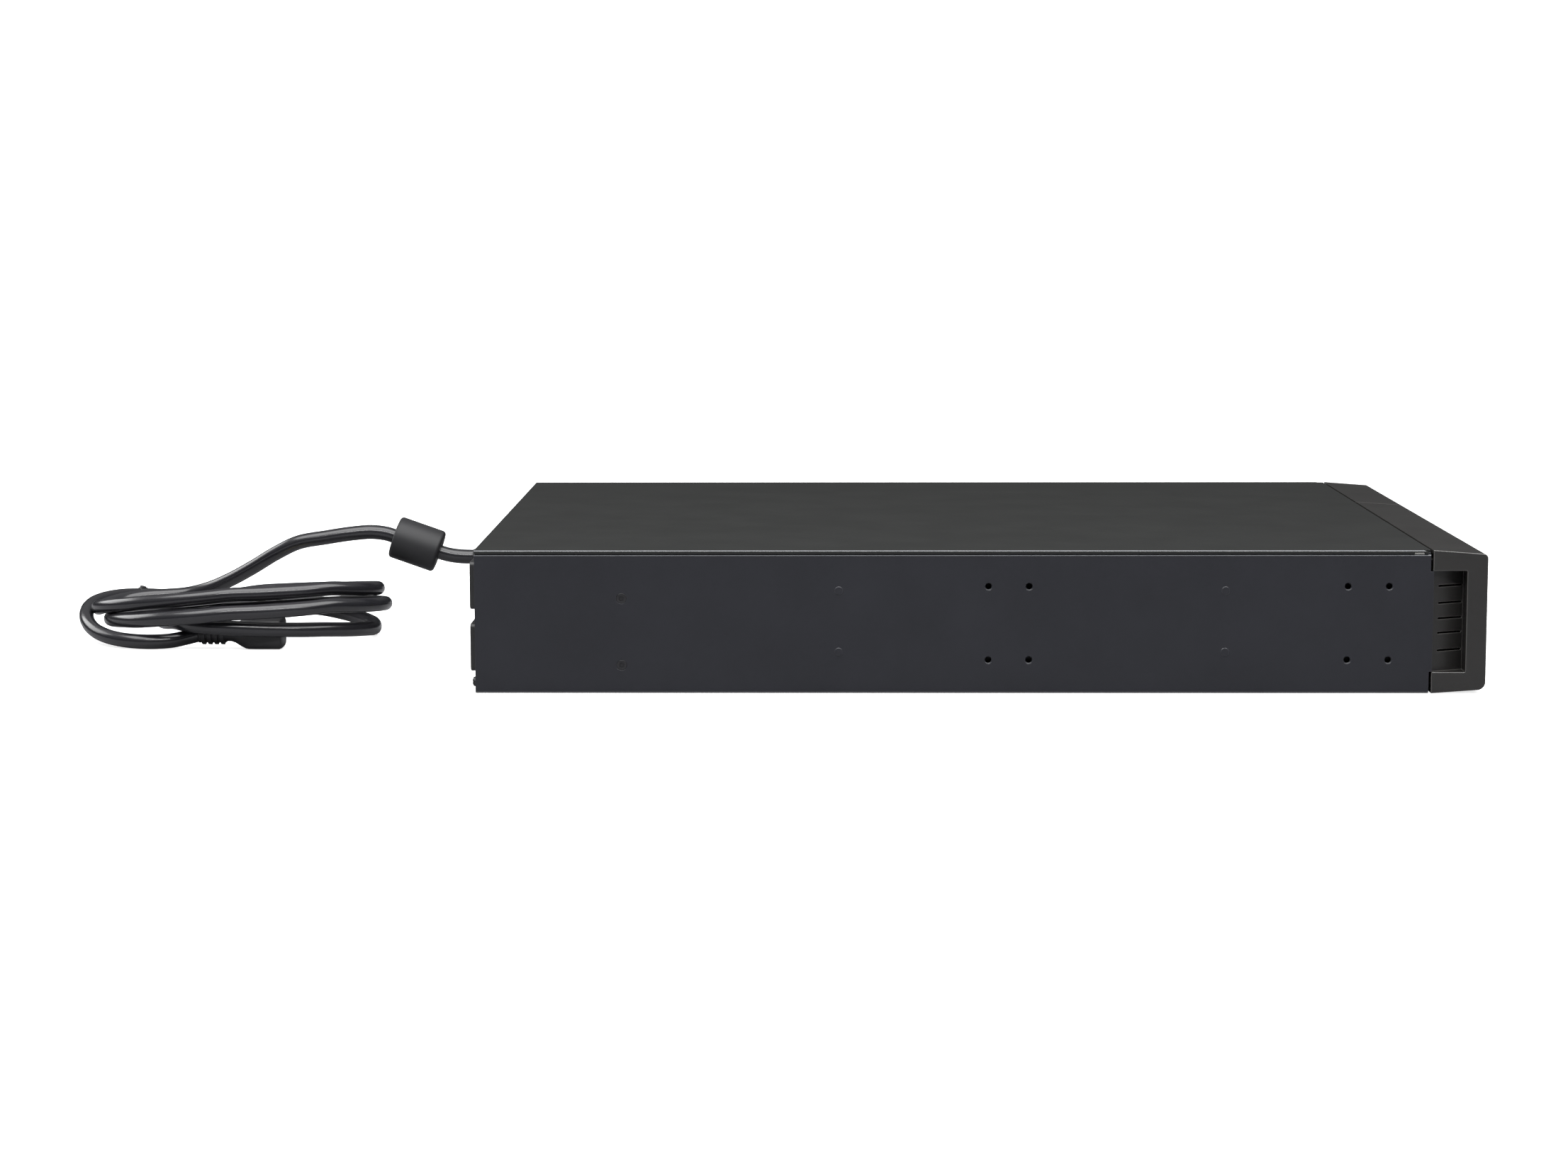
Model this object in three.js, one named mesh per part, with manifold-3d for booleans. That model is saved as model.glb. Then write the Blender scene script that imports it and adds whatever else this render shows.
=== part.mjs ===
// A 2U rack-mount power unit: sheet-metal case, moulded bezel with a removable battery door,
// battery pack on a tray, power electronics, rear outlet banks, fan and a coiled mains lead.
// Units are millimetres, +X points out of the front, +Z is up.
// Inside the case group x is measured from the rear panel's outer face.
import * as THREE from "three";
import { mergeVertices } from "three/addons/utils/BufferGeometryUtils.js";
import Module from "manifold-3d";

const wasm = await Module();
wasm.setup();

// ---------------------------------------------------------------- driving dimensions

const WIDTH = 438;
const HEIGHT = 87;
const GAP = 0.3; // air left between pieces that touch
const SHEET = 1.5; // case steel
const COVER_SHEET = 1.2;
const CHASSIS_LENGTH = 576;
const BEZEL_REAR = 577.5;
const BEZEL_FRONT = 610.4;
const OUTLET_PROUD = 4; // the furthest any fixed piece stands behind the rear panel

const HALF = WIDTH / 2;
const SIDE_TOP = 84.2; // where the painted side ends and the cover's edge begins
const COVER_LIP = 84.8;
const CENTRE_X = (BEZEL_FRONT - OUTLET_PROUD) / 2;

const CORD = 9.8; // lead diameter

// ---------------------------------------------------------------- solids

const RIGHT = new THREE.Vector3(1, 0, 0);
const AWAY = new THREE.Vector3(0, 1, 0);
const UP = new THREE.Vector3(0, 0, 1);

// A closed three.js geometry as a manifold-3d solid.
function solid(geometry) {
  const bare = geometry.clone();
  bare.deleteAttribute("normal");
  bare.deleteAttribute("uv");
  const merged = mergeVertices(bare, 1e-4);
  return new wasm.Manifold(
    new wasm.Mesh({
      numProp: 3,
      vertProperties: merged.attributes.position.array,
      triVerts: new Uint32Array(merged.index.array),
    }),
  );
}

function join(pieces) {
  return pieces.reduce((whole, piece) => whole.add(piece));
}

function cut(body, tools) {
  return tools.reduce((left, tool) => left.subtract(tool), body);
}

function box(x0, x1, y0, y1, z0, z1) {
  const geometry = new THREE.BoxGeometry(x1 - x0, y1 - y0, z1 - z0);
  return solid(geometry.translate((x0 + x1) / 2, (y0 + y1) / 2, (z0 + z1) / 2));
}

// The rotation that takes the drawing plane's axes and its normal to the part's axes.
const PLANES = {
  x: new THREE.Matrix4().makeBasis(AWAY, UP, RIGHT), // drawn in (y, z), pushed along +X
  y: new THREE.Matrix4().makeBasis(UP, RIGHT, AWAY), // drawn in (z, x), pushed along +Y
  z: new THREE.Matrix4(), // drawn in (x, y), pushed along +Z
};

// An outline pushed along an axis from one coordinate to another.
function prism(axis, outline, from, to, segments = 6) {
  const shape = Array.isArray(outline)
    ? new THREE.Shape(outline.map(([a, b]) => new THREE.Vector2(a, b)))
    : outline;
  const geometry = new THREE.ExtrudeGeometry(shape, {
    depth: to - from,
    bevelEnabled: false,
    curveSegments: segments,
  });
  geometry.translate(0, 0, from).applyMatrix4(PLANES[axis]);
  return solid(geometry);
}

// A rectangle with rounded corners, in a drawing plane.
function roundedRectangle(a0, a1, b0, b1, radius) {
  const shape = new THREE.Shape();
  shape.moveTo(a0 + radius, b0);
  shape.lineTo(a1 - radius, b0);
  shape.absarc(a1 - radius, b0 + radius, radius, -Math.PI / 2, 0);
  shape.lineTo(a1, b1 - radius);
  shape.absarc(a1 - radius, b1 - radius, radius, 0, Math.PI / 2);
  shape.lineTo(a0 + radius, b1);
  shape.absarc(a0 + radius, b1 - radius, radius, Math.PI / 2, Math.PI);
  shape.lineTo(a0, b0 + radius);
  shape.absarc(a0 + radius, b0 + radius, radius, Math.PI, 1.5 * Math.PI);
  return shape;
}

// A turned piece: its profile is [distance along the axis, radius] from end to end.
function turned(axis, profile, [x, y, z], segments = 20) {
  const closed = [[profile[0][0], 0], ...profile, [profile.at(-1)[0], 0]];
  const points = closed.map(([along, radius]) => new THREE.Vector2(radius, along));
  const geometry = new THREE.LatheGeometry(points, segments);
  const direction = { x: RIGHT, y: AWAY, z: UP }[axis];
  const turn = new THREE.Quaternion().setFromUnitVectors(AWAY, direction);
  return solid(geometry.applyQuaternion(turn).translate(x, y, z));
}

function rod(axis, radius, from, to, [a, b], segments = 20) {
  const centre = { x: [0, a, b], y: [a, 0, b], z: [a, b, 0] }[axis];
  return turned(axis, [[from, radius], [to, radius]], centre, segments);
}

// A round bar that follows a curve.
function bar(curve, radius, steps, sides = 10) {
  const section = new THREE.Shape();
  for (let i = 0; i <= sides; i++) {
    const angle = (2 * Math.PI * i) / sides;
    section[i ? "lineTo" : "moveTo"](radius * Math.cos(angle), radius * Math.sin(angle));
  }
  return solid(
    new THREE.ExtrudeGeometry(section, { steps, bevelEnabled: false, extrudePath: curve }),
  );
}

function vectors(points) {
  return points.map(([x, y, z]) => new THREE.Vector3(x, y, z));
}

function mirroredAcrossY(body) {
  return body.mirror([0, 1, 0]);
}

// ---------------------------------------------------------------- materials and nodes

const looks = {
  caseSteel: { color: 0x2f3036, roughness: 0.55, metalness: 0.3 },
  coverSteel: { color: 0x383a38, roughness: 0.55, metalness: 0.3 },
  bezelPlastic: { color: 0x2e2e2e, roughness: 0.5, metalness: 0 },
  blackPlastic: { color: 0x1a1a1c, roughness: 0.6, metalness: 0 },
  buttonPlastic: { color: 0x4a4c50, roughness: 0.45, metalness: 0 },
  lens: { color: 0x101418, roughness: 0.1, metalness: 0 },
  display: { color: 0x27422f, roughness: 0.3, metalness: 0 },
  board: { color: 0x1f5b35, roughness: 0.5, metalness: 0 },
  zinc: { color: 0xb9bcc0, roughness: 0.35, metalness: 0.9 },
  aluminium: { color: 0xa8abae, roughness: 0.4, metalness: 0.9 },
  battery: { color: 0x8c8f92, roughness: 0.6, metalness: 0 },
  connector: { color: 0x8a2a22, roughness: 0.5, metalness: 0 },
  laminations: { color: 0x4b4744, roughness: 0.6, metalness: 0.6 },
  winding: { color: 0xc28a3c, roughness: 0.5, metalness: 0.2 },
  sleeve: { color: 0x20242c, roughness: 0.4, metalness: 0 },
  ferrite: { color: 0x3a3b3d, roughness: 0.7, metalness: 0 },
  rubber: { color: 0x161617, roughness: 0.45, metalness: 0 },
  brass: { color: 0xc9a55a, roughness: 0.3, metalness: 0.9 },
};
const materials = Object.fromEntries(
  Object.entries(looks).map(([name, look]) => [name, new THREE.MeshStandardMaterial(look)]),
);

const unit = new THREE.Group();
unit.position.x = -CENTRE_X;
const part = new THREE.Group();
part.add(unit);

function node(name, look, body) {
  const made = body.getMesh();
  const geometry = new THREE.BufferGeometry();
  geometry.setAttribute("position", new THREE.BufferAttribute(made.vertProperties, 3));
  geometry.setIndex(new THREE.BufferAttribute(made.triVerts, 1));
  geometry.computeVertexNormals();
  const mesh = new THREE.Mesh(geometry, materials[look]);
  mesh.name = name;
  unit.add(mesh);
}

// ---------------------------------------------------------------- side wall features

const HOLE_COLUMNS = [24.7, 49.4, 241.2, 265.7]; // threaded ear holes, back from the front edge
const HOLE_ROWS = [20.4, 65.1];
const HOLE_RADIUS = 1.9;
const HOLE_RIM = 2.5;
const DIMPLE_COLUMNS = [123, 356]; // half sheared locating bosses
const DIMPLE_ROWS = [25.2, 62.5];
const DIMPLE_RADIUS = 2.6;
const DIMPLE_HEIGHT = 0.4;
const SCREW_COLUMN = 487.2;
const SCREW_ROWS = [17.2, 57.8];
const SCREW_HEAD = 3.1;
const SCREW_SHANK = 1.6;

// The side wall runs on a little to meet the floor of the bezel's finger recess.
const SIDE_TAB = { x1: 577.9, z0: 13.2, z1: 74.1 };

// Every crossing of columns, measured back from the front edge, and rows.
function grid(columns, rows) {
  return columns.flatMap((column) => rows.map((row) => [CHASSIS_LENGTH - column, row]));
}

// A countersunk hole through the near wall.
function countersink(radius, rim, [x, z]) {
  const depth = rim - radius;
  const profile = [[-0.5, rim + 0.5], [depth, radius], [SHEET + 0.5, radius]];
  return turned("y", profile, [x, -HALF, z], 16);
}

function chassisTray() {
  const bend = 1.5;
  const inner = HALF - SHEET;
  const profile = new THREE.Shape();
  profile.moveTo(-HALF + bend, 0);
  profile.lineTo(HALF - bend, 0);
  profile.absarc(HALF - bend, bend, bend, -Math.PI / 2, 0);
  // The side ends in a joggled flange that carries the cover.
  const flange = [
    [HALF, SIDE_TOP - 0.5],
    [HALF - 0.5, SIDE_TOP],
    [inner + 0.1, SIDE_TOP],
    [inner + 0.1, SIDE_TOP + 1.3],
    [inner - 12, SIDE_TOP + 1.3],
    [inner - 12, SIDE_TOP],
    [inner - 1.2, SIDE_TOP],
    [inner - 1.2, SIDE_TOP - 1.4],
    [inner, SIDE_TOP - 1.4],
    [inner, SHEET],
  ];
  flange.forEach(([y, z]) => profile.lineTo(y, z));
  flange.reverse().forEach(([y, z]) => profile.lineTo(-y, z));
  profile.absarc(-HALF + bend, bend, bend, Math.PI, 1.5 * Math.PI);
  const body = prism("x", profile, 0, CHASSIS_LENGTH);
  const nearHoles = [
    ...grid(HOLE_COLUMNS, HOLE_ROWS).map((at) => countersink(HOLE_RADIUS, HOLE_RIM, at)),
    ...grid([SCREW_COLUMN], SCREW_ROWS).map((at) =>
      countersink(SCREW_SHANK + GAP, SCREW_HEAD + GAP, at),
    ),
  ];
  const nearDimples = grid(DIMPLE_COLUMNS, DIMPLE_ROWS).map((at) =>
    turned(
      "y",
      [[-DIMPLE_HEIGHT, DIMPLE_RADIUS - 0.3], [0, DIMPLE_RADIUS], [SHEET / 2, DIMPLE_RADIUS]],
      [at[0], -HALF, at[1]],
      16,
    ),
  );
  const standoffs = BOARD_CORNERS.map((at) => rod("z", 3, SHEET / 2, BOARD_BOTTOM - GAP, at, 10));
  const tab = box(CHASSIS_LENGTH - 1, SIDE_TAB.x1, -HALF, -inner, SIDE_TAB.z0, SIDE_TAB.z1);
  const nearExtras = [...nearDimples, tab];
  const rearPanelSeat = box(-1, SHEET + GAP, -inner, inner, SIDE_TOP - 2, SIDE_TOP);
  const coverSeat = box(-1, SHEET + GAP, -HALF, HALF, SIDE_TOP, HEIGHT);
  return cut(join([body, ...nearExtras, ...nearExtras.map(mirroredAcrossY), ...standoffs]), [
    rearPanelSeat,
    coverSeat,
    ...nearHoles,
    ...nearHoles.map(mirroredAcrossY),
  ]);
}

// A countersunk screw that holds the near side of the case.
function flatScrew([x, z]) {
  const centre = [x, -HALF, z];
  const profile = [[0, SCREW_HEAD], [SCREW_HEAD - SCREW_SHANK, SCREW_SHANK], [8, SCREW_SHANK]];
  const socket = turned("y", [[-1, 1.3], [1.2, 0.9]], centre, 8);
  return cut(turned("y", profile, centre, 16), [socket]);
}

// ---------------------------------------------------------------- cover

const SLOT = { x0: 566, x1: 572.2, z0: 84.6, z1: 85.7 }; // opening in the cover's front corner
const CORNER_RELIEF = 4.5;

function topCover() {
  const round = 1;
  const inner = HALF - COVER_SHEET;
  const ceiling = HEIGHT - COVER_SHEET;
  const profile = new THREE.Shape();
  profile.moveTo(HALF, COVER_LIP);
  profile.lineTo(HALF, HEIGHT - round);
  profile.absarc(HALF - round, HEIGHT - round, round, 0, Math.PI / 2);
  profile.lineTo(-HALF + round, HEIGHT);
  profile.absarc(-HALF + round, HEIGHT - round, round, Math.PI / 2, Math.PI);
  const underside = [
    [-HALF, COVER_LIP],
    [-inner, COVER_LIP],
    [-inner, ceiling],
    [inner, ceiling],
    [inner, COVER_LIP],
  ];
  underside.forEach(([y, z]) => profile.lineTo(y, z));
  const sheet = prism("x", profile, 0, CHASSIS_LENGTH);
  const rearLip = box(0, COVER_SHEET, -inner - 0.1, inner + 0.1, COVER_LIP, ceiling + 0.1);
  const slot = box(SLOT.x0, SLOT.x1, -HALF - 1, -inner + 0.2, COVER_LIP - 1, SLOT.z1);
  const relief = box(
    CHASSIS_LENGTH - 1.5,
    CHASSIS_LENGTH + 1,
    -HALF - 1,
    -inner + 0.6,
    COVER_LIP - 1,
    HEIGHT + 1,
  );
  const vee = prism(
    "y",
    [
      [HEIGHT + 0.1, CHASSIS_LENGTH - CORNER_RELIEF],
      [HEIGHT - COVER_SHEET - 0.1, CHASSIS_LENGTH - 1.5],
      [HEIGHT - COVER_SHEET - 0.1, CHASSIS_LENGTH + 1],
      [HEIGHT + 0.1, CHASSIS_LENGTH + 1],
    ],
    -HALF - 1,
    -HALF + 3,
  );
  const cuts = [slot, relief, vee];
  return cut(join([sheet, rearLip]), [...cuts, ...cuts.map(mirroredAcrossY)]);
}

// ---------------------------------------------------------------- rear panel

const PANEL_EDGE = HALF - SHEET - GAP;
const PANEL_BOTTOM = SHEET + GAP;
const PANEL_TOP = COVER_LIP - GAP;
const OUTLET_COLUMNS = [-189.5, -150, -110.5];
const OUTLET_ROWS = [26.3, 64.2];
const OUTLET_FACE = [37, 29.2]; // width and height of an outlet's face
const OUTLET_BODY = [33, 25];
const BREAKERS = [[-72, 26.3], [-72, 62]];
const BREAKER_BUSH = 5.5;
const PORTS = { y0: -50, y1: -12, z0: 14, z1: 70 };
const EXIT = { y: 30, z: 54 };
const FAN = { y: 168, z: 43, size: 80, depth: 25, bore: 38 };
const OPTION = { y0: 52, y1: 116, z0: 38, z1: 78 };
const GROUND = [30, 17];
const REAR_SCREWS = [[-212.5, 6.2], [212.5, 6.2]];

function rearPanel() {
  const outline = roundedRectangle(-PANEL_EDGE, PANEL_EDGE, PANEL_BOTTOM, PANEL_TOP, 0.8);
  const plate = prism("x", outline, 0, SHEET, 2);
  const through = [-1, SHEET + 1];
  const window = (y0, y1, z0, z1) => box(...through, y0 - GAP, y1 + GAP, z0 - GAP, z1 + GAP);
  const [outletWidth, outletHeight] = OUTLET_BODY.map((size) => size / 2);
  const outlets = OUTLET_COLUMNS.flatMap((y) =>
    OUTLET_ROWS.map((z) =>
      window(y - outletWidth, y + outletWidth, z - outletHeight, z + outletHeight),
    ),
  );
  const round = [
    ...BREAKERS.map((at) => [BREAKER_BUSH + GAP, at]),
    [10 + GAP, [EXIT.y, EXIT.z]],
    [FAN.bore - 1, [FAN.y, FAN.z]],
    [2 + GAP, GROUND],
    ...REAR_SCREWS.map((at) => [1.5 + GAP, at]),
    ...OPTION_SCREWS.map((at) => [1.5 + GAP, at]),
  ];
  return cut(plate, [
    ...outlets,
    ...round.map(([radius, at]) => rod("x", radius, ...through, at, 24)),
    window(PORTS.y0, PORTS.y1, PORTS.z0, PORTS.z1),
    window(OPTION.y0 + 5, OPTION.y1 - 5, OPTION.z0 + 4, OPTION.z1 - 4),
  ]);
}

// A three-hole outlet, its face standing proud of the panel and its body behind it.
function outlet(y, z) {
  const chamfer = 1.4;
  const [width, height] = OUTLET_FACE;
  const face = join([
    box(-OUTLET_PROUD + chamfer, -GAP, y - width / 2, y + width / 2, z - height / 2, z + height / 2),
    prism(
      "y",
      [
        [z - height / 2 + chamfer, -OUTLET_PROUD],
        [z - height / 2, -OUTLET_PROUD + chamfer + 0.1],
        [z + height / 2, -OUTLET_PROUD + chamfer + 0.1],
        [z + height / 2 - chamfer, -OUTLET_PROUD],
      ],
      y - width / 2 + 0.8,
      y + width / 2 - 0.8,
    ),
  ]);
  const [bodyWidth, bodyHeight] = OUTLET_BODY;
  const body = box(-1, 24, y - bodyWidth / 2, y + bodyWidth / 2, z - bodyHeight / 2, z + bodyHeight / 2);
  const slotDepth = 14;
  const slots = [
    box(-OUTLET_PROUD - 1, slotDepth, y - 7.6, y - 5.2, z - 0.4, z + 6.6),
    box(-OUTLET_PROUD - 1, slotDepth, y + 5.2, y + 7.6, z - 1.2, z + 7.2),
    rod("x", 2.6, -OUTLET_PROUD - 1, slotDepth, [y, z - 6.6], 14),
  ];
  return cut(join([face, body]), slots);
}

function breakerBody([y, z]) {
  const shell = box(SHEET + GAP, 34, y - 7.5, y + 7.5, z - 15, z + 15);
  const bush = rod("x", BREAKER_BUSH, -3, 3, [y, z], 20);
  const bore = rod("x", 3.2, -4, 12, [y, z], 16);
  return cut(join([shell, bush]), [bore]);
}

function breakerButton(at) {
  return turned("x", [[-3.8, 2.3], [-3.2, 2.8], [8, 2.8]], [0, ...at], 16);
}

function portBlock() {
  const body = box(-0.6, 18, PORTS.y0, PORTS.y1, PORTS.z0, PORTS.z1);
  const middle = (PORTS.y0 + PORTS.y1) / 2;
  const sockets = [
    box(-2, 12, middle - 6, middle + 6, 54, 64.5), // square data port
    box(-2, 12, middle - 6.5, middle + 6.5, 37, 49), // emergency off jack
  ];
  const serialShell = prism(
    "x",
    [[middle - 7.5, 19.5], [middle + 7.5, 19.5], [middle + 8.5, 28], [middle - 8.5, 28]],
    -3.5,
    0,
  );
  return cut(join([body, serialShell]), sockets);
}

const OPTION_SHEET = 1.5;
const OPTION_SCREWS = [[OPTION.y0 + 3, 58], [OPTION.y1 - 3, 58]];

function optionCover() {
  const outline = roundedRectangle(OPTION.y0 - 3, OPTION.y1 + 3, OPTION.z0, OPTION.z1, 1.5);
  const plate = prism("x", outline, -OPTION_SHEET, -GAP, 3);
  const holes = OPTION_SCREWS.map((at) => rod("x", 1.5 + GAP, -3, 1, at, 14));
  return cut(plate, holes);
}

// A screw through the rear panel: a low head outside and a shank inside.
function rearScrew([y, z], headRadius, shank, seat = -GAP) {
  const headFrom = seat - 0.7 * headRadius;
  const profile = [
    [headFrom, headRadius - 0.8],
    [headFrom + 0.7, headRadius],
    [seat, headRadius],
    [seat, shank],
    [9, shank],
  ];
  const across = headRadius + 1;
  const slot = box(headFrom - 1, headFrom + 0.8, y - across, y + across, z - 0.5, z + 0.5);
  return cut(turned("x", profile, [0, y, z], 18), [slot]);
}

function fanFrame() {
  const x0 = SHEET + GAP;
  const x1 = x0 + FAN.depth;
  const half = FAN.size / 2;
  const { y, z } = FAN;
  const ring = cut(prism("x", roundedRectangle(y - half, y + half, z - half, z + half, 4), x0, x1, 3), [
    rod("x", FAN.bore, x0 - 1, x1 + 1, [y, z], 32),
  ]);
  const motorMount = rod("x", 15, x1 - 4, x1, [y, z], 24);
  const struts = [0, 1, 2].map((i) => {
    const strut = new THREE.BoxGeometry(3, 3, FAN.bore + 1).translate(0, 0, (FAN.bore + 1) / 2);
    strut.rotateX((i * 2 * Math.PI) / 3).translate(x1 - 1.8, y, z);
    return solid(strut);
  });
  return join([ring, motorMount, ...struts]);
}

function fanRotor() {
  const { y, z } = FAN;
  const x0 = SHEET + GAP + 2;
  const hub = turned("x", [[0, 14], [1.5, 16], [17, 16]], [x0, y, z], 28);
  const blades = Array.from({ length: 7 }, (_, i) => {
    const blade = new THREE.BoxGeometry(1.6, 17, 21).translate(0, 0, 24.8);
    blade.rotateZ(0.62).rotateX((i * 2 * Math.PI) / 7).translate(x0 + 9, y, z);
    return solid(blade);
  });
  return join([hub, ...blades]);
}

// Concentric wire rings carried on four legs that end at the frame's screw corners.
function fanGuard() {
  const wire = 0.9;
  const standoff = -2.4;
  const corner = 71.5 / 2;
  const ring = (radius) => {
    const torus = new THREE.TorusGeometry(radius, wire, 5, 24).rotateY(Math.PI / 2);
    return solid(torus.translate(standoff, FAN.y, FAN.z));
  };
  const legs = [-1, 1].map((side) => {
    const ends = vectors([
      [-GAP - wire, FAN.y - corner, FAN.z - side * corner],
      [-GAP - wire, FAN.y + corner, FAN.z + side * corner],
    ]);
    return bar(new THREE.LineCurve3(...ends), wire, 1, 6);
  });
  return join([...[12, 20, 28, 36].map(ring), ...legs]);
}

// ---------------------------------------------------------------- front

const BATTERY_EDGE = 73; // the seam between the battery door and the control panel
// The finger recess starts behind the side wall and gets deeper towards the front.
const RECESS = { x1: 598, z0: 12.9, z1: 74.4, rearDepth: 1.9, frontDepth: 12 };
const RECESS_BACKING = { depth: 16, margin: 6 };
const VENT = { rows: [25.5, 36.2, 45, 54.4, 64.7], x0: 581.5, x1: 597, height: 1 };
const BEZEL_WALL = 2.5;
const NOSE = { bottom: 1.9, top: HEIGHT - 2.2, lowerRound: 5, upperRound: 3 };

// The bezel's side outline in (z, x): it narrows slightly towards a rounded nose.
function bezelOutline(inset) {
  const lower = NOSE.lowerRound - Math.min(inset, 2);
  const upper = NOSE.upperRound - Math.min(inset, 2);
  const noseBottom = NOSE.bottom + inset;
  const noseTop = NOSE.top - inset;
  const front = BEZEL_FRONT - inset;
  const rear = BEZEL_REAR - (inset ? 1 : 0);
  const shape = new THREE.Shape();
  shape.moveTo(inset, rear);
  shape.lineTo(noseBottom, front - lower);
  shape.absarc(noseBottom + lower, front - lower, lower, Math.PI, Math.PI / 2, true);
  shape.lineTo(noseTop - upper, front);
  shape.absarc(noseTop - upper, front - upper, upper, Math.PI / 2, 0, true);
  shape.lineTo(HEIGHT - inset, rear);
  return shape;
}

// A hollow length of bezel from y0 to y1, whose outer end carries the finger recess.
function bezelShell(y0, y1) {
  const shell = cut(prism("y", bezelOutline(0), y0, y1, 4), [
    prism("y", bezelOutline(BEZEL_WALL), y0 + BEZEL_WALL, y1 - BEZEL_WALL, 3),
  ]);
  const { depth, margin } = RECESS_BACKING;
  const backing = box(BEZEL_REAR, RECESS.x1 + BEZEL_WALL, y0 + 1, y0 + depth, margin, HEIGHT - margin);
  const pocketOutline = [
    [BEZEL_REAR - 1, y0 - 1],
    [RECESS.x1, y0 - 1],
    [RECESS.x1, y0 + RECESS.frontDepth],
    [BEZEL_REAR - 1, y0 + RECESS.rearDepth],
  ];
  const pocket = prism("z", pocketOutline, RECESS.z0, RECESS.z1);
  const vents = VENT.rows.map((z) =>
    box(VENT.x0, VENT.x1, y0 + 1, y0 + depth + 1, z - VENT.height / 2, z + VENT.height / 2),
  );
  return cut(join([shell, backing]), [pocket, ...vents]);
}

// Tongues on the door's back that reach through the subframe.
const TONGUE = { x0: 568, y0: 24, y1: 36, rows: [16, 68], height: 3 };

function batteryDoor() {
  const { x0, y0, y1, rows, height } = TONGUE;
  const tongues = rows.map((z) => box(x0, BEZEL_FRONT - 1.4, y0, y1, z, z + height));
  return join([bezelShell(-HALF, BATTERY_EDGE), ...tongues]);
}

const LENS = { x0: 608.2, x1: 609.9, y0: 98, y1: 170, z0: 44, z1: 74 };
const BUTTONS = { power: 106, mute: 134, scroll: 162 };
const BUTTON_Z = 27;
const BUTTON_RADIUS = 6.5;
const BOARD = { x0: 590, x1: 591.6, y0: 92, y1: 184, z0: 14, z1: 76 };
const BOARD_POSTS = { columns: [96, 180], rows: [18, 72] };

function bezelPanel() {
  const shell = mirroredAcrossY(bezelShell(-HALF, -BATTERY_EDGE - 2 * GAP));
  const window = box(600, 612, LENS.y0 - GAP, LENS.y1 + GAP, LENS.z0 - GAP, LENS.z1 + GAP);
  const holes = Object.values(BUTTONS).map((y) =>
    rod("x", BUTTON_RADIUS + GAP, 600, 612, [y, BUTTON_Z], 24),
  );
  const posts = BOARD_POSTS.columns.flatMap((y) =>
    BOARD_POSTS.rows.map((z) => rod("x", 2.5, BOARD.x1 + GAP, 608.5, [y, z], 8)),
  );
  return cut(join([shell, ...posts]), [window, ...holes]);
}

function displayModule() {
  const margin = 3;
  return box(
    BOARD.x1 + GAP,
    LENS.x0 - 3.2,
    LENS.y0 + margin,
    LENS.y1 - margin,
    LENS.z0 + margin,
    LENS.z1 - margin,
  );
}

// A front key: its stem starts at x0, a flange keeps it in the bezel, and its cap ends at x1.
const KEY = { x0: 596, flange: [604.2, 605.4], flangeRadius: 8.2, x1: 609.9, stemRadius: 3 };

function button(y) {
  const [flangeRear, flangeFront] = KEY.flange;
  const profile = [
    [KEY.x0, KEY.stemRadius],
    [flangeRear, KEY.stemRadius],
    [flangeRear, KEY.flangeRadius],
    [flangeFront, KEY.flangeRadius],
    [flangeFront, BUTTON_RADIUS],
    [KEY.x1 - 0.7, BUTTON_RADIUS],
    [KEY.x1, BUTTON_RADIUS - 0.8],
  ];
  return turned("x", profile, [0, y, BUTTON_Z], 24);
}

function frontSubframe() {
  const plate = box(572, 573.5, -PANEL_EDGE, PANEL_EDGE, PANEL_BOTTOM, SIDE_TOP - GAP - 1.5);
  const bayMouth = box(570, 575, TRAY.y0 - 2, TRAY.y1 + 2, 0, 77);
  const harness = box(570, 575, 96, 180, 14, 74);
  const { y0, y1, rows, height } = TONGUE;
  const tongueSlots = rows.map((z) => box(570, 575, y0 - 1, y1 + 1, z - 1, z + height + 1));
  return cut(plate, [bayMouth, harness, ...tongueSlots]);
}

// ---------------------------------------------------------------- battery pack

const TRAY = { x0: 256, x1: 566.5, y0: -210.5, y1: -5.5 };
const TRAY_SHEET = 1.2;
const BATTERY = [151, 94, 65];

function batteryTray() {
  const { x0, x1, y0, y1 } = TRAY;
  const floor = SHEET + GAP;
  const wall = 38;
  const inside = [x0 + TRAY_SHEET, x1 - TRAY_SHEET, y0 + TRAY_SHEET, y1 - TRAY_SHEET];
  const shell = cut(box(x0, x1, y0, y1, floor, wall), [box(...inside, floor + TRAY_SHEET, wall + 1)]);
  const front = box(x1 - TRAY_SHEET, x1, y0, y1, floor, 74);
  const middle = (y0 + y1) / 2;
  const grip = prism("x", roundedRectangle(middle - 40, middle + 40, 42, 64, 10), x1 - 3, x1 + 3, 5);
  return cut(join([shell, front]), [grip]);
}

function battery(column, row) {
  const [length, width, height] = BATTERY;
  const x0 = TRAY.x0 + TRAY_SHEET + GAP + column * (length + 1.5);
  const y0 = TRAY.y0 + TRAY_SHEET + 2 + row * (width + 8);
  const z0 = SHEET + GAP + TRAY_SHEET + GAP;
  const block = prism("x", roundedRectangle(y0, y0 + width, z0, z0 + height, 2), x0, x0 + length, 2);
  const top = z0 + height;
  const lidGroove = box(x0 - 1, x0 + length + 1, y0 + width - 12, y0 + width - 11, top - 0.8, top + 1);
  return cut(block, [lidGroove]);
}

const PACK_PLUG = { y: -60, z: 20 };

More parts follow.
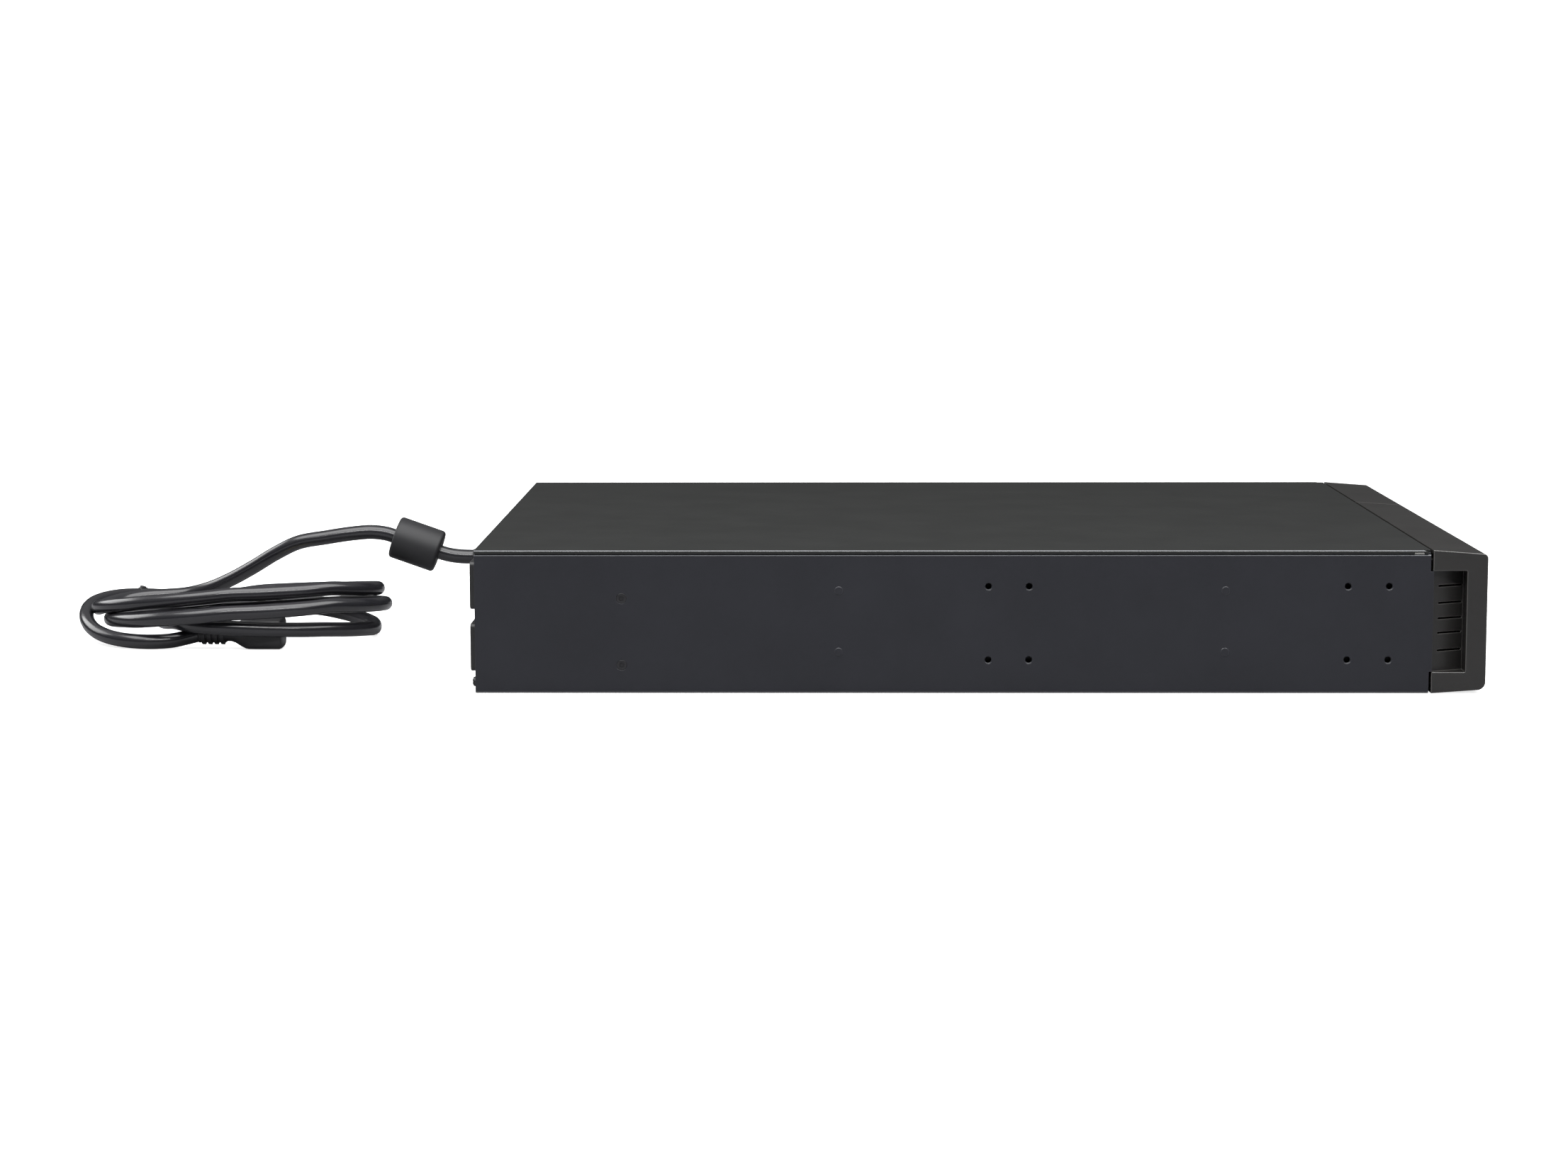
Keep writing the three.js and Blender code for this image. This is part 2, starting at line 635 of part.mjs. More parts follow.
function packPlug() {
  const { y, z } = PACK_PLUG;
  return cut(box(238, TRAY.x0 - GAP, y - 18, y + 18, z - 8, z + 8), [
    box(237, 248, y - 15, y - 1.5, z - 5.5, z + 5.5),
    box(237, 248, y + 1.5, y + 15, z - 5.5, z + 5.5),
  ]);
}

function packSocket() {
  const { y, z } = PACK_PLUG;
  const stand = box(206, 220, y - 18, y + 18, SHEET + GAP, z + 8);
  const shell = box(206, 238 - GAP, y - 18, y + 18, z - 8, z + 8);
  const pins = [-8.25, 8.25].map((side) => box(230, 246, y + side - 4, y + side + 4, z - 2, z + 2));
  return join([stand, shell, ...pins]);
}

function bayDivider() {
  const wall = box(250, 571.5, 0, 1.2, SHEET + GAP, 82);
  const foot = box(250, 571.5, 0, 12, SHEET + GAP, SHEET + GAP + 1.2);
  return join([wall, foot]);
}

// ---------------------------------------------------------------- power electronics

const BOARD_BOTTOM = 9;
const BOARD_TOP = 10.6;
const MAIN_BOARD = { x0: 270, x1: 560, y0: 22, y1: 205 };
const BOARD_CORNERS = [
  [MAIN_BOARD.x0 + 8, MAIN_BOARD.y0 + 8],
  [MAIN_BOARD.x1 - 8, MAIN_BOARD.y0 + 8],
  [MAIN_BOARD.x0 + 8, MAIN_BOARD.y1 - 8],
  [MAIN_BOARD.x1 - 8, MAIN_BOARD.y1 - 8],
];

function mainBoard() {
  const { x0, x1, y0, y1 } = MAIN_BOARD;
  const plate = box(x0, x1, y0, y1, BOARD_BOTTOM, BOARD_TOP);
  const holes = BOARD_CORNERS.map((at) => rod("z", 1.6, BOARD_BOTTOM - 1, BOARD_TOP + 1, at, 10));
  return cut(plate, holes);
}

const HEAT_SINK = { x0: 330, x1: 470, top: 68, fins: 7, pitch: 6.5, fin: 1.6, base: 6 };

function heatSink(y) {
  const { x0, x1, top, fins, pitch, fin, base } = HEAT_SINK;
  const bottom = BOARD_TOP + GAP;
  const blades = Array.from({ length: fins }, (_, i) =>
    box(x0, x1, y + i * pitch, y + i * pitch + fin, bottom, top),
  );
  const width = (fins - 1) * pitch + fin;
  return join([box(x0, x1, y, y + width, bottom, bottom + base), ...blades]);
}

const CAPACITOR = { at: [510, 60, 0], radius: 17.5, top: 65 };

function capacitor() {
  const { at, radius, top } = CAPACITOR;
  return turned("z", [[BOARD_TOP + GAP, radius], [top - 1, radius], [top, radius - 1]], at, 24);
}

const CORE = { x0: 80, x1: 194, y0: -180, y1: -116, z0: SHEET + GAP, z1: 80 };
const LIMB = 19;

function transformerCore() {
  const { x0, x1, y0, y1, z0, z1 } = CORE;
  const windows = [x0 + LIMB, x1 - 2 * LIMB].map((x) =>
    box(x, x + LIMB, y0 - 1, y1 + 1, z0 + LIMB, z1 - LIMB),
  );
  return cut(box(x0, x1, y0, y1, z0, z1), windows);
}

function transformerWinding() {
  const { x0, x1, y0, y1, z0, z1 } = CORE;
  const reach = LIMB - 1;
  const outer = prism(
    "z",
    roundedRectangle(x0 + 2 * LIMB - reach, x1 - 2 * LIMB + reach, y0 - reach, y1 + reach, 9),
    z0 + LIMB + GAP,
    z1 - LIMB - GAP,
    4,
  );
  const limb = box(x0 + 2 * LIMB - GAP, x1 - 2 * LIMB + GAP, y0 - GAP, y1 + GAP, 0, HEIGHT);
  return cut(outer, [limb]);
}

const CHOKE = { at: [300, 80], ring: 17, coil: 7 };

function choke() {
  const torus = new THREE.TorusGeometry(CHOKE.ring, CHOKE.coil, 10, 24);
  return solid(torus.translate(...CHOKE.at, BOARD_TOP + GAP + CHOKE.coil));
}

// ---------------------------------------------------------------- cord

// Where the lead runs free: out of the gland, through the ferrite and down to the coil.
const LEAD = [
  [-3, 30, 54],
  [-16, 30, 54],
  [-28, 30, 54.1],
  [-37, 30, 54.5],
  [-44.4, 30, 55.7],
  [-50.4, 30, 57.5],
];
const FERRITE = { centre: [-65, 30, 62.7], radius: 14.4, length: 32, rise: 0.34, round: 2.3 };
const RUN = [
  [-79.6, 30, 67.9],
  [-86, 30, 69.9],
  [-96, 30, 71],
  [-109, 30, 70],
  [-127, 31, 67.2],
  [-146, 33, 63.6],
  [-162, 37, 55.9],
  [-180, 44, 45],
  [-197, 52, 35.6],
  [-213, 59, 28.6],
  [-229, 63, 24.4],
];
const COIL = { x0: -298.5, x1: -80, y0: -59, y1: 110, top: 44.5, hollow: 46, pinRoom: 23 };
// How the coil's top rises towards the case and falls away behind.
const COIL_SLOPE = { middle: 34, along: 0.09, across: -0.104 };
const PLUG = { x: -188.5, y: -28.5, z: 10.3, length: 41, width: 26, height: 20.6 };
const RELIEF = { z: 9, length: 16 }; // the neck that the cord enters by

// The outer shape of the coil: an oval ring whose top rises towards the case and falls away behind.
function cordCoil() {
  const { x0, x1, y0, y1, top, hollow } = COIL;
  const centre = [(x0 + x1) / 2, (y0 + y1) / 2];
  const oval = (inset) => {
    const reach = [(x1 - x0) / 2 - inset, (y1 - y0) / 2 - inset];
    return new THREE.Shape().absellipse(...centre, ...reach, 0, 2 * Math.PI, false);
  };
  const ring = cut(prism("z", oval(0), 0, top, 9), [prism("z", oval(hollow), -1, top + 1, 6)]);
  const above = new THREE.BoxGeometry(2 * (x1 - x0), 2 * (x1 - x0), top).translate(0, 0, top / 2);
  above.rotateX(COIL_SLOPE.across).rotateY(-COIL_SLOPE.along).translate(...centre, COIL_SLOPE.middle);
  const lead = bar(new THREE.CatmullRomCurve3(vectors(RUN)), CORD / 2 + GAP, 40);
  const plugRoom = box(
    PLUG.x - RELIEF.length - GAP,
    PLUG.x + PLUG.length + 3,
    y0 - 1,
    PLUG.y + PLUG.width / 2 + COIL.pinRoom,
    -1,
    PLUG.height + 2,
  );
  return cut(ring, [solid(above), lead, plugRoom]);
}

function ferrite() {
  const { centre, radius, length, rise, round } = FERRITE;
  const half = length / 2;
  const points = [
    [-half, CORD / 2 + GAP],
    [-half, radius - round],
    [-half + round, radius],
    [half - round, radius],
    [half, radius - round],
    [half, CORD / 2 + GAP],
    [-half, CORD / 2 + GAP],
  ];
  const sleeve = new THREE.LatheGeometry(points.map(([along, r]) => new THREE.Vector2(r, along)), 24);
  const axis = new THREE.Vector3(-Math.cos(rise), 0, Math.sin(rise));
  const tilt = new THREE.Quaternion().setFromUnitVectors(AWAY, axis);
  return solid(sleeve.applyQuaternion(tilt).translate(...centre));
}

function gland() {
  const { y, z } = EXIT;
  const profile = [
    [-27, CORD / 2 + 1],
    [-12, 8],
    [-7, 8.4],
    [-7, 12.5],
    [-GAP, 12.5],
    [-GAP, 10],
    [SHEET + GAP, 10],
    [SHEET + GAP, 12],
    [6, 12],
  ];
  const bore = rod("x", CORD / 2 + GAP, -40, 10, [y, z], 16);
  return cut(turned("x", profile, [0, y, z], 24), [bore]);
}

// An angled plug on its side, its pins pointing to the far side: each one's middle (x, z) and half size.
const PLUG_PINS = [
  { name: "plug_blade_line", at: [-165.4, 16.65], half: [3.2, 0.75], reach: 17 },
  { name: "plug_blade_neutral", at: [-165.4, 3.95], half: [3.8, 0.75], reach: 17 },
  { name: "plug_pin_ground", at: [-153.5, 10.3], half: [2.4, 2.4], reach: 20 },
];
const PLUG_FACE = PLUG.y + PLUG.width / 2;
const PIN_ROOT = 12; // how deep a pin stands in the plug's face

function pinEdges({ at, half }, clearance) {
  const along = half[0] + clearance;
  const up = half[1] + clearance;
  return { x0: at[0] - along, x1: at[0] + along, z0: at[1] - up, z1: at[1] + up };
}

function plugBody() {
  const { x, y, z, length, width, height } = PLUG;
  const shoulder = 17; // where the grip reaches its full height
  const waist = { depth: 7, length: 20 };
  const side = [
    [z - 4.5, x],
    [z - height / 2, x + shoulder],
    [z - height / 2, x + length],
    [z + height / 2, x + length],
    [z + height / 2, x + shoulder],
    [z + 4.5, x],
  ];
  const body = prism("y", side, y - width / 2, y + width / 2);
  const waists = [-1, 1].map((way) => {
    const edge = y + (way * width) / 2;
    const corners = [
      [x - 1, edge + way],
      [x - 1, edge - way * waist.depth],
      [x + waist.length, edge],
      [x + waist.length, edge + way],
    ];
    return prism("z", way < 0 ? corners : corners.reverse(), -2, height + 2);
  });
  const neck = turned("x", [[-RELIEF.length, CORD / 2 + 0.8], [0, 5.6], [4, 5.6]], [x, y, RELIEF.z], 16);
  const mouth = x - RELIEF.length;
  const bore = rod("x", CORD / 2 + GAP, mouth - 1, mouth + 8, [y, RELIEF.z], 16);
  const sockets = PLUG_PINS.map((pin) => {
    const { x0, x1, z0, z1 } = pinEdges(pin, GAP);
    return box(x0, x1, PLUG_FACE - PIN_ROOT, PLUG_FACE + 1, z0, z1);
  });
  return cut(join([cut(body, waists), neck]), [bore, ...sockets]);
}

function plugPin(pin) {
  const { x0, x1, z0, z1 } = pinEdges(pin, 0);
  const outline = roundedRectangle(z0, z1, x0, x1, Math.min(...pin.half) * 0.6);
  return prism("y", outline, PLUG_FACE - PIN_ROOT + GAP, PLUG_FACE + pin.reach, 3);
}

// ---------------------------------------------------------------- assembly

node("chassis_tray", "caseSteel", chassisTray());
node("top_cover", "coverSteel", topCover());
node("rear_panel", "caseSteel", rearPanel());
node("front_subframe", "zinc", frontSubframe());
node("bay_divider", "zinc", bayDivider());

node("bezel_panel", "bezelPlastic", bezelPanel());
node("battery_door", "bezelPlastic", batteryDoor());
node("display_lens", "lens", box(LENS.x0, LENS.x1, LENS.y0, LENS.y1, LENS.z0, LENS.z1));
node("display_module", "display", displayModule());
node("control_board", "board", box(BOARD.x0, BOARD.x1, BOARD.y0, BOARD.y1, BOARD.z0, BOARD.z1));
for (const [name, y] of Object.entries(BUTTONS)) {
  node(name + "_button", "buttonPlastic", button(y));
}

node("battery_tray", "zinc", batteryTray());
for (const column of [0, 1]) {
  for (const row of [0, 1]) {
    node("battery_" + (1 + column + 2 * row), "battery", battery(column, row));
  }
}
node("battery_plug", "connector", packPlug());
node("battery_socket", "connector", packSocket());

node("main_board", "board", mainBoard());
node("heat_sink_1", "aluminium", heatSink(34));
node("heat_sink_2", "aluminium", heatSink(90));
node("capacitor", "sleeve", capacitor());
node("choke", "winding", choke());
node("transformer_core", "laminations", transformerCore());
node("transformer_winding", "winding", transformerWinding());

node("fan_frame", "blackPlastic", fanFrame());
node("fan_rotor", "blackPlastic", fanRotor());
node("fan_guard", "zinc", fanGuard());
OUTLET_ROWS.forEach((z, row) => {
  OUTLET_COLUMNS.forEach((y, column) => {
    node("outlet_" + (1 + column + 3 * row), "blackPlastic", outlet(y, z));
  });
});
BREAKERS.forEach((at, i) => {
  node("breaker_" + (i + 1), "blackPlastic", breakerBody(at));
  node("breaker_button_" + (i + 1), "buttonPlastic", breakerButton(at));
});
node("port_block", "blackPlastic", portBlock());
node("slot_cover", "caseSteel", optionCover());
OPTION_SCREWS.forEach((at, i) => {
  node("slot_screw_" + (i + 1), "zinc", rearScrew(at, 3, 1.5, -OPTION_SHEET - GAP));
});
node("ground_screw", "zinc", rearScrew(GROUND, 4, 2));
REAR_SCREWS.forEach((at, i) => node("rear_screw_" + (i + 1), "caseSteel", rearScrew(at, 3, 1.5)));
grid([SCREW_COLUMN], SCREW_ROWS).forEach((at, i) => {
  node("side_screw_" + (i + 1), "caseSteel", flatScrew(at));
  node("side_screw_" + (i + 3), "caseSteel", mirroredAcrossY(flatScrew(at)));
});

node("cord_gland", "rubber", gland());
node("cord_lead", "rubber", bar(new THREE.CatmullRomCurve3(vectors(LEAD)), CORD / 2, 8));
node("ferrite", "ferrite", ferrite());
node("cord_run", "rubber", bar(new THREE.CatmullRomCurve3(vectors(RUN.slice(0, -1))), CORD / 2, 30));
node("cord_coil", "rubber", cordCoil());
node("plug", "rubber", plugBody());
PLUG_PINS.forEach((pin) => node(pin.name, "brass", plugPin(pin)));

export default part;
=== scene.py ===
"""Looks for the rack power unit: camera, light, floor, mains lead and the finish of every piece.

Points are in millimetres in the case's own frame, where x is measured from the rear panel's outer
face, and at() turns them into the frame's metres.
"""

import math

import bmesh
import bpy
from mathutils import Matrix, Vector


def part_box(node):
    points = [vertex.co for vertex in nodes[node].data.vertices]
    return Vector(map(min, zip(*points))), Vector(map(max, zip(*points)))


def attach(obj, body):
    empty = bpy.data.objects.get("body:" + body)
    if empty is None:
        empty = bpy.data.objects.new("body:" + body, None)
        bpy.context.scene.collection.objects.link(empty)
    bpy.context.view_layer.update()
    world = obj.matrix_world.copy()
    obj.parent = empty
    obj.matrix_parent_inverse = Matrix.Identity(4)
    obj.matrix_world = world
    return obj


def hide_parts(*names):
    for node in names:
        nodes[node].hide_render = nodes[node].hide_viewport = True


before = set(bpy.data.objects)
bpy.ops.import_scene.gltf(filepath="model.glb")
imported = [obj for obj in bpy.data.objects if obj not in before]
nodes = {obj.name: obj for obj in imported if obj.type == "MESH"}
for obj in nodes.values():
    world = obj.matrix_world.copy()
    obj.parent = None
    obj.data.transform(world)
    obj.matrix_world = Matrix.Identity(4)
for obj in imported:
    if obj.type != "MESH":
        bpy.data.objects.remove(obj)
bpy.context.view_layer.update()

MM = 0.001
REAR_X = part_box("rear_panel")[0].x


def at(x, y, z):
    """A point given in the case's millimetres, as a point of the shared frame, in metres."""
    return Vector((REAR_X + x * MM, y * MM, z * MM))


def case_box(node):
    """Lowest and highest corner of a CAD node in the case's millimetres."""
    low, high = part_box(node)
    return [((p.x - REAR_X) / MM, p.y / MM, p.z / MM) for p in (low, high)]


# ------------------------------------------------------------------ camera, light and floor

CAMERA_AT = (211.3, -2187.7, 313.4)
CAMERA_YAW, CAMERA_PITCH, CAMERA_ROLL = math.radians(0.7055), math.radians(7.2145), math.radians(0.094)
LENS_MM, SENSOR_MM = 75.57, 36.0


def add_camera():
    """The camera that took the photo, fitted to the straight edges of the case."""
    data = bpy.data.cameras.new("camera")
    data.lens, data.sensor_width = LENS_MM, SENSOR_MM
    data.clip_start, data.clip_end = 0.05, 60
    camera = bpy.data.objects.new("camera", data)
    bpy.context.scene.collection.objects.link(camera)
    level = Matrix.Rotation(CAMERA_YAW, 4, "Z") @ Matrix.Rotation(math.pi / 2 - CAMERA_PITCH, 4, "X")
    rolled = level @ Matrix.Rotation(-CAMERA_ROLL, 4, "Z")
    camera.matrix_world = Matrix.Translation(at(*CAMERA_AT)) @ rolled
    bpy.context.scene.camera = camera


def add_area(name, place, target, size, energy):
    """A rectangular lamp at place, in metres, turned towards target."""
    data = bpy.data.lights.new(name, "AREA")
    data.shape, data.size, data.size_y, data.energy = "RECTANGLE", size[0], size[1], energy
    lamp = bpy.data.objects.new(name, data)
    bpy.context.scene.collection.objects.link(lamp)
    direction = Vector(target) - Vector(place)
    turn = direction.to_track_quat("-Z", "Y").to_matrix().to_4x4()
    lamp.matrix_world = Matrix.Translation(Vector(place)) @ turn


# The studio: how bright it is at eye level and overhead, and where the one turns into the other.
STUDIO_LOW, STUDIO_HIGH = (0.05, 0.052, 0.058, 1), (1, 1, 1, 1)
STUDIO_FROM, STUDIO_TO, STUDIO_STRENGTH = 0.12, 0.9, 0.45
BACKDROP_STRENGTH = 1.05
FLOOR_REACH, FLOOR_DROP = 12.0, 0.0002
FLOOR_SEEN, FLOOR_THROWN, FLOOR_GLOW = (0.8, 0.8, 0.8, 1), (0.3, 0.3, 0.31, 1), 0.78


def add_world():
    """A studio that is dim at eye level and bright overhead, seen by the camera as plain white."""
    world = bpy.data.worlds.new("studio")
    bpy.context.scene.world = world
    world.use_nodes = True
    tree = world.node_tree
    tree.nodes.clear()
    where = tree.nodes.new("ShaderNodeTexCoord")
    split = tree.nodes.new("ShaderNodeSeparateXYZ")
    tree.links.new(where.outputs["Generated"], split.inputs[0])
    ramp = tree.nodes.new("ShaderNodeValToRGB")
    low, high = ramp.color_ramp.elements
    low.position, low.color = STUDIO_FROM, STUDIO_LOW
    high.position, high.color = STUDIO_TO, STUDIO_HIGH
    tree.links.new(split.outputs["Z"], ramp.inputs["Fac"])
    lit = tree.nodes.new("ShaderNodeBackground")
    tree.links.new(ramp.outputs["Color"], lit.inputs["Color"])
    lit.inputs["Strength"].default_value = STUDIO_STRENGTH
    white = tree.nodes.new("ShaderNodeBackground")
    white.inputs["Color"].default_value = (1, 1, 1, 1)
    white.inputs["Strength"].default_value = BACKDROP_STRENGTH
    ray = tree.nodes.new("ShaderNodeLightPath")
    mix = tree.nodes.new("ShaderNodeMixShader")
    out = tree.nodes.new("ShaderNodeOutputWorld")
    tree.links.new(ray.outputs["Is Camera Ray"], mix.inputs["Fac"])
    tree.links.new(lit.outputs[0], mix.inputs[1])
    tree.links.new(white.outputs[0], mix.inputs[2])
    tree.links.new(mix.outputs[0], out.inputs["Surface"])


def add_floor():
    """A floor that the camera sees as white with soft shade, and that throws little light back up."""
    mesh = bpy.data.meshes.new("floor")
    corners = [(x * FLOOR_REACH, y * FLOOR_REACH) for x, y in [(-1, -1), (1, -1), (1, 1), (-1, 1)]]
    mesh.from_pydata([(x, y, -FLOOR_DROP) for x, y in corners], [], [(0, 1, 2, 3)])
    floor = bpy.data.objects.new("floor", mesh)
    bpy.context.scene.collection.objects.link(floor)
    material = bpy.data.materials.new("floor_white")
    material.use_nodes = True
    tree = material.node_tree
    shader = tree.nodes["Principled BSDF"]
    shader.inputs["Base Color"].default_value = FLOOR_SEEN
    shader.inputs["Roughness"].default_value = 0.9
    shader.inputs["Specular IOR Level"].default_value = 0.0
    shader.inputs["Emission Color"].default_value = (1, 1, 1, 1)
    shader.inputs["Emission Strength"].default_value = FLOOR_GLOW
    dim = tree.nodes.new("ShaderNodeBsdfDiffuse")
    dim.inputs["Color"].default_value = FLOOR_THROWN
    ray = tree.nodes.new("ShaderNodeLightPath")
    mix = tree.nodes.new("ShaderNodeMixShader")
    tree.links.new(ray.outputs["Is Camera Ray"], mix.inputs["Fac"])
    tree.links.new(dim.outputs[0], mix.inputs[1])
    tree.links.new(shader.outputs[0], mix.inputs[2])
    tree.links.new(mix.outputs[0], tree.nodes["Material Output"].inputs["Surface"])
    mesh.materials.append(material)


# Each lamp: its place, what it points at, its size (metres) and its energy.
LAMPS = {
    "overhead_softbox": ((0, -0.5, 1.5), (0, -0.3, 0), (3.4, 1.3), 70),
    "front_strip": ((0, -1.5, 1.3), (0, -0.1, 0.03), (2.4, 0.14), 27),
    "rear_fill": ((-1.9, 0.7, 0.9), (-0.3, 0, 0.04), (1.2, 0.8), 14),
}

add_camera()
add_world()
for lamp_name, settings in LAMPS.items():
    add_area(lamp_name, *settings)
add_floor()
bpy.context.scene.view_settings.view_transform = "Standard"

# ------------------------------------------------------------------ mains lead, its route

CORD = 9.8
LEAD = [
    (-3, 30, 54), (-16, 30, 54), (-28, 30, 54.1), (-37, 30, 54.5), (-44.4, 30, 55.7), (-50.4, 30, 57.5),
]
FERRITE_CENTRE, FERRITE_RADIUS, FERRITE_LENGTH, FERRITE_RISE = (-65, 30, 62.7), 14.4, 32, 0.34
RUN = [
    (-79.6, 30, 67.9), (-86, 30, 69.9), (-96, 30, 71), (-109, 30, 70), (-127, 31, 67.2), (-146, 33, 63.6),
    (-162, 37, 55.9), (-180, 44, 45), (-197, 52, 35.6), (-213, 59, 28.6), (-229, 63, 24.4),
]
ONTO_COIL = [(-243, 62.8, 23.3), (-257.5, 59, 23), (-270, 51, 22), (-278, 38.5, 20.8)]
# Each turn of the coil: how far it reaches, and its height at every eighth of the turn from its
# left end round the near side.
COIL_MIDDLE = (-180, 24)
COIL_TURNS = [
    {
        "left": -281, "near": -38, "right": -91.8, "far": 82,
        "heights": (20, 28, 36.6, 38.6, 33.4, 28, 23.8, 14),
    },
    {
        "left": -272, "near": -54, "right": -86.9, "far": 87,
        "heights": (13.2, 18.6, 26.5, 28.9, 23, 17.6, 12, 9.2),
    },
    {
        "left": -236, "near": -47, "right": -94.6, "far": 95,
        "heights": (11.5, 17, 15.9, 12, 6.3),
    },
]
TURN_STEPS = 32
OUT_TO_PLUG = [
    (-98.5, 48, 6.3), (-110, 68, 7.2), (-124, 84, 8.4), (-139, 94, 9.8), (-158, 101, 10.8),
    (-190, 105, 11.5), (-222, 104.5, 14), (-250, 100.5, 18), (-273.5, 86, 20.5), (-286.6, 64, 20.8),
    (-290.8, 38, 19), (-287.4, 12, 14.6), (-279, -7, 10), (-268.8, -19, 7.2), (-257, -28, 5.7),
    (-245, -33, 5.1), (-233, -34.5, 5.0), (-221, -32.5, 5.5), (-211, -29.6, 7.3), (-203.8, -28.5, 9),
]
# The plug: x is where its body starts, y and z are the middle of its grip, and relief is how far
# its ribbed neck reaches back from there.
PLUG = {"x": -188.5, "y": -28.5, "z": 10.3, "relief": 15.3}


def coil_points():
    """The coil's turns: ovals round one middle, each lying lower than the last."""
    middle_x, middle_y = COIL_MIDDLE
    points = []
    for turn, following in zip(COIL_TURNS, COIL_TURNS[1:] + [None]):
        heights = turn["heights"] + ((following["heights"][0],) if following else ())
        steps = TURN_STEPS if following else TURN_STEPS // 2 + 1
        for step in range(steps):
            angle = 2 * math.pi * step / TURN_STEPS
            leftward, nearward = math.cos(angle), math.sin(angle)
            left = turn["left"] if nearward >= 0 or not following else following["left"]
            reach_x = (left if leftward > 0 else turn["right"]) - middle_x
            reach_y = (turn["near"] if nearward > 0 else turn["far"]) - middle_y
            eighth, part = divmod(step, TURN_STEPS // 8)
            share = part / (TURN_STEPS // 8)
            upper = heights[min(eighth + 1, len(heights) - 1)]
            height = heights[eighth] * (1 - share) + upper * share
            x = middle_x + reach_x * abs(leftward)
            y = middle_y + reach_y * abs(nearward)
            points.append((x, y, height))
    return points


def smooth_line(points, per_span=8):
    """A centripetal Catmull-Rom curve through the points."""
    path = [Vector(p) for p in points]
    path = [2 * path[0] - path[1], *path, 2 * path[-1] - path[-2]]
    line = []
    for a, b, c, d in zip(path, path[1:], path[2:], path[3:]):
        t1 = (b - a).length ** 0.5
        t2 = t1 + (c - b).length ** 0.5
        t3 = t2 + (d - c).length ** 0.5
        for step in range(per_span):
            t = t1 + (t2 - t1) * step / per_span
            ab = a.lerp(b, t / t1)
            bc = b.lerp(c, (t - t1) / (t2 - t1))
            cd = c.lerp(d, (t - t2) / (t3 - t2))
            abc = ab.lerp(bc, t / t2)
            bcd = bc.lerp(cd, (t - t1) / (t3 - t1))
            line.append(abc.lerp(bcd, (t - t1) / (t2 - t1)))
    line.append(path[-2])
    return line


ROUTE = smooth_line([*LEAD, FERRITE_CENTRE, *RUN, *ONTO_COIL, *coil_points(), *OUT_TO_PLUG])


# ------------------------------------------------------------------ finishes


def tone(red, green, blue):
    """A colour given in 0-255 display steps, as the linear colour that a shader takes."""
    steps = (red, green, blue)
    linear = [((c / 255 + 0.055) / 1.055) ** 2.4 if c > 10 else c / 255 / 12.92 for c in steps]
    return (*linear, 1)


COAT_ROUGHNESS = 0.12
LEAST_ROUGHNESS = 0.03
ROUGHNESS_SPREAD = 0.12
MOTTLE_BAND = (0.3, 0.7)


def finish(
    name, colour, rough, metal=0.0, specular=0.5, mottle=0.08, patch=30, grain=None, coat=0.0, streak=None
):
    """A procedural finish. mottle varies the colour over patches (per metre), grain is (size, height)
    of the surface texture in millimetres, and streak stretches the texture along one axis."""
    material = bpy.data.materials.new(name)
    material.use_nodes = True
    tree = material.node_tree
    shader = tree.nodes["Principled BSDF"]
    shader.inputs["Metallic"].default_value = metal
    shader.inputs["Specular IOR Level"].default_value = specular
    shader.inputs["Coat Weight"].default_value = coat
    shader.inputs["Coat Roughness"].default_value = COAT_ROUGHNESS
    where = tree.nodes.new("ShaderNodeTexCoord")
    place = where.outputs["Object"]
    if streak:
        stretch = tree.nodes.new("ShaderNodeMapping")
        stretch.inputs["Scale"].default_value = streak
        tree.links.new(place, stretch.inputs["Vector"])
        place = stretch.outputs["Vector"]
    cloud = tree.nodes.new("ShaderNodeTexNoise")
    cloud.inputs["Scale"].default_value = patch
    cloud.inputs["Detail"].default_value = 6
    tree.links.new(place, cloud.inputs["Vector"])
    ramp = tree.nodes.new("ShaderNodeValToRGB")
    changes = (1 - mottle, 1 + mottle)
    for element, at_share, change in zip(ramp.color_ramp.elements, MOTTLE_BAND, changes):
        element.position = at_share
        element.color = (*[min(1, c * change) for c in colour[:3]], 1)
    tree.links.new(cloud.outputs["Fac"], ramp.inputs["Fac"])
    tree.links.new(ramp.outputs["Color"], shader.inputs["Base Color"])
    spread = tree.nodes.new("ShaderNodeMapRange")
    spread.inputs["To Min"].default_value = max(LEAST_ROUGHNESS, rough * (1 - ROUGHNESS_SPREAD))
    spread.inputs["To Max"].default_value = min(1, rough * (1 + ROUGHNESS_SPREAD))
    tree.links.new(cloud.outputs["Fac"], spread.inputs["Value"])
    tree.links.new(spread.outputs["Result"], shader.inputs["Roughness"])
    if grain:
        size, height = grain
        texture = tree.nodes.new("ShaderNodeTexNoise")
        texture.inputs["Scale"].default_value = 1000 / size
        texture.inputs["Detail"].default_value = 3
        tree.links.new(place, texture.inputs["Vector"])
        bump = tree.nodes.new("ShaderNodeBump")
        bump.inputs["Distance"].default_value = height * MM
        bump.inputs["Strength"].default_value = 1
        tree.links.new(texture.outputs["Fac"], bump.inputs["Height"])
        tree.links.new(bump.outputs["Normal"], shader.inputs["Normal"])
    return material


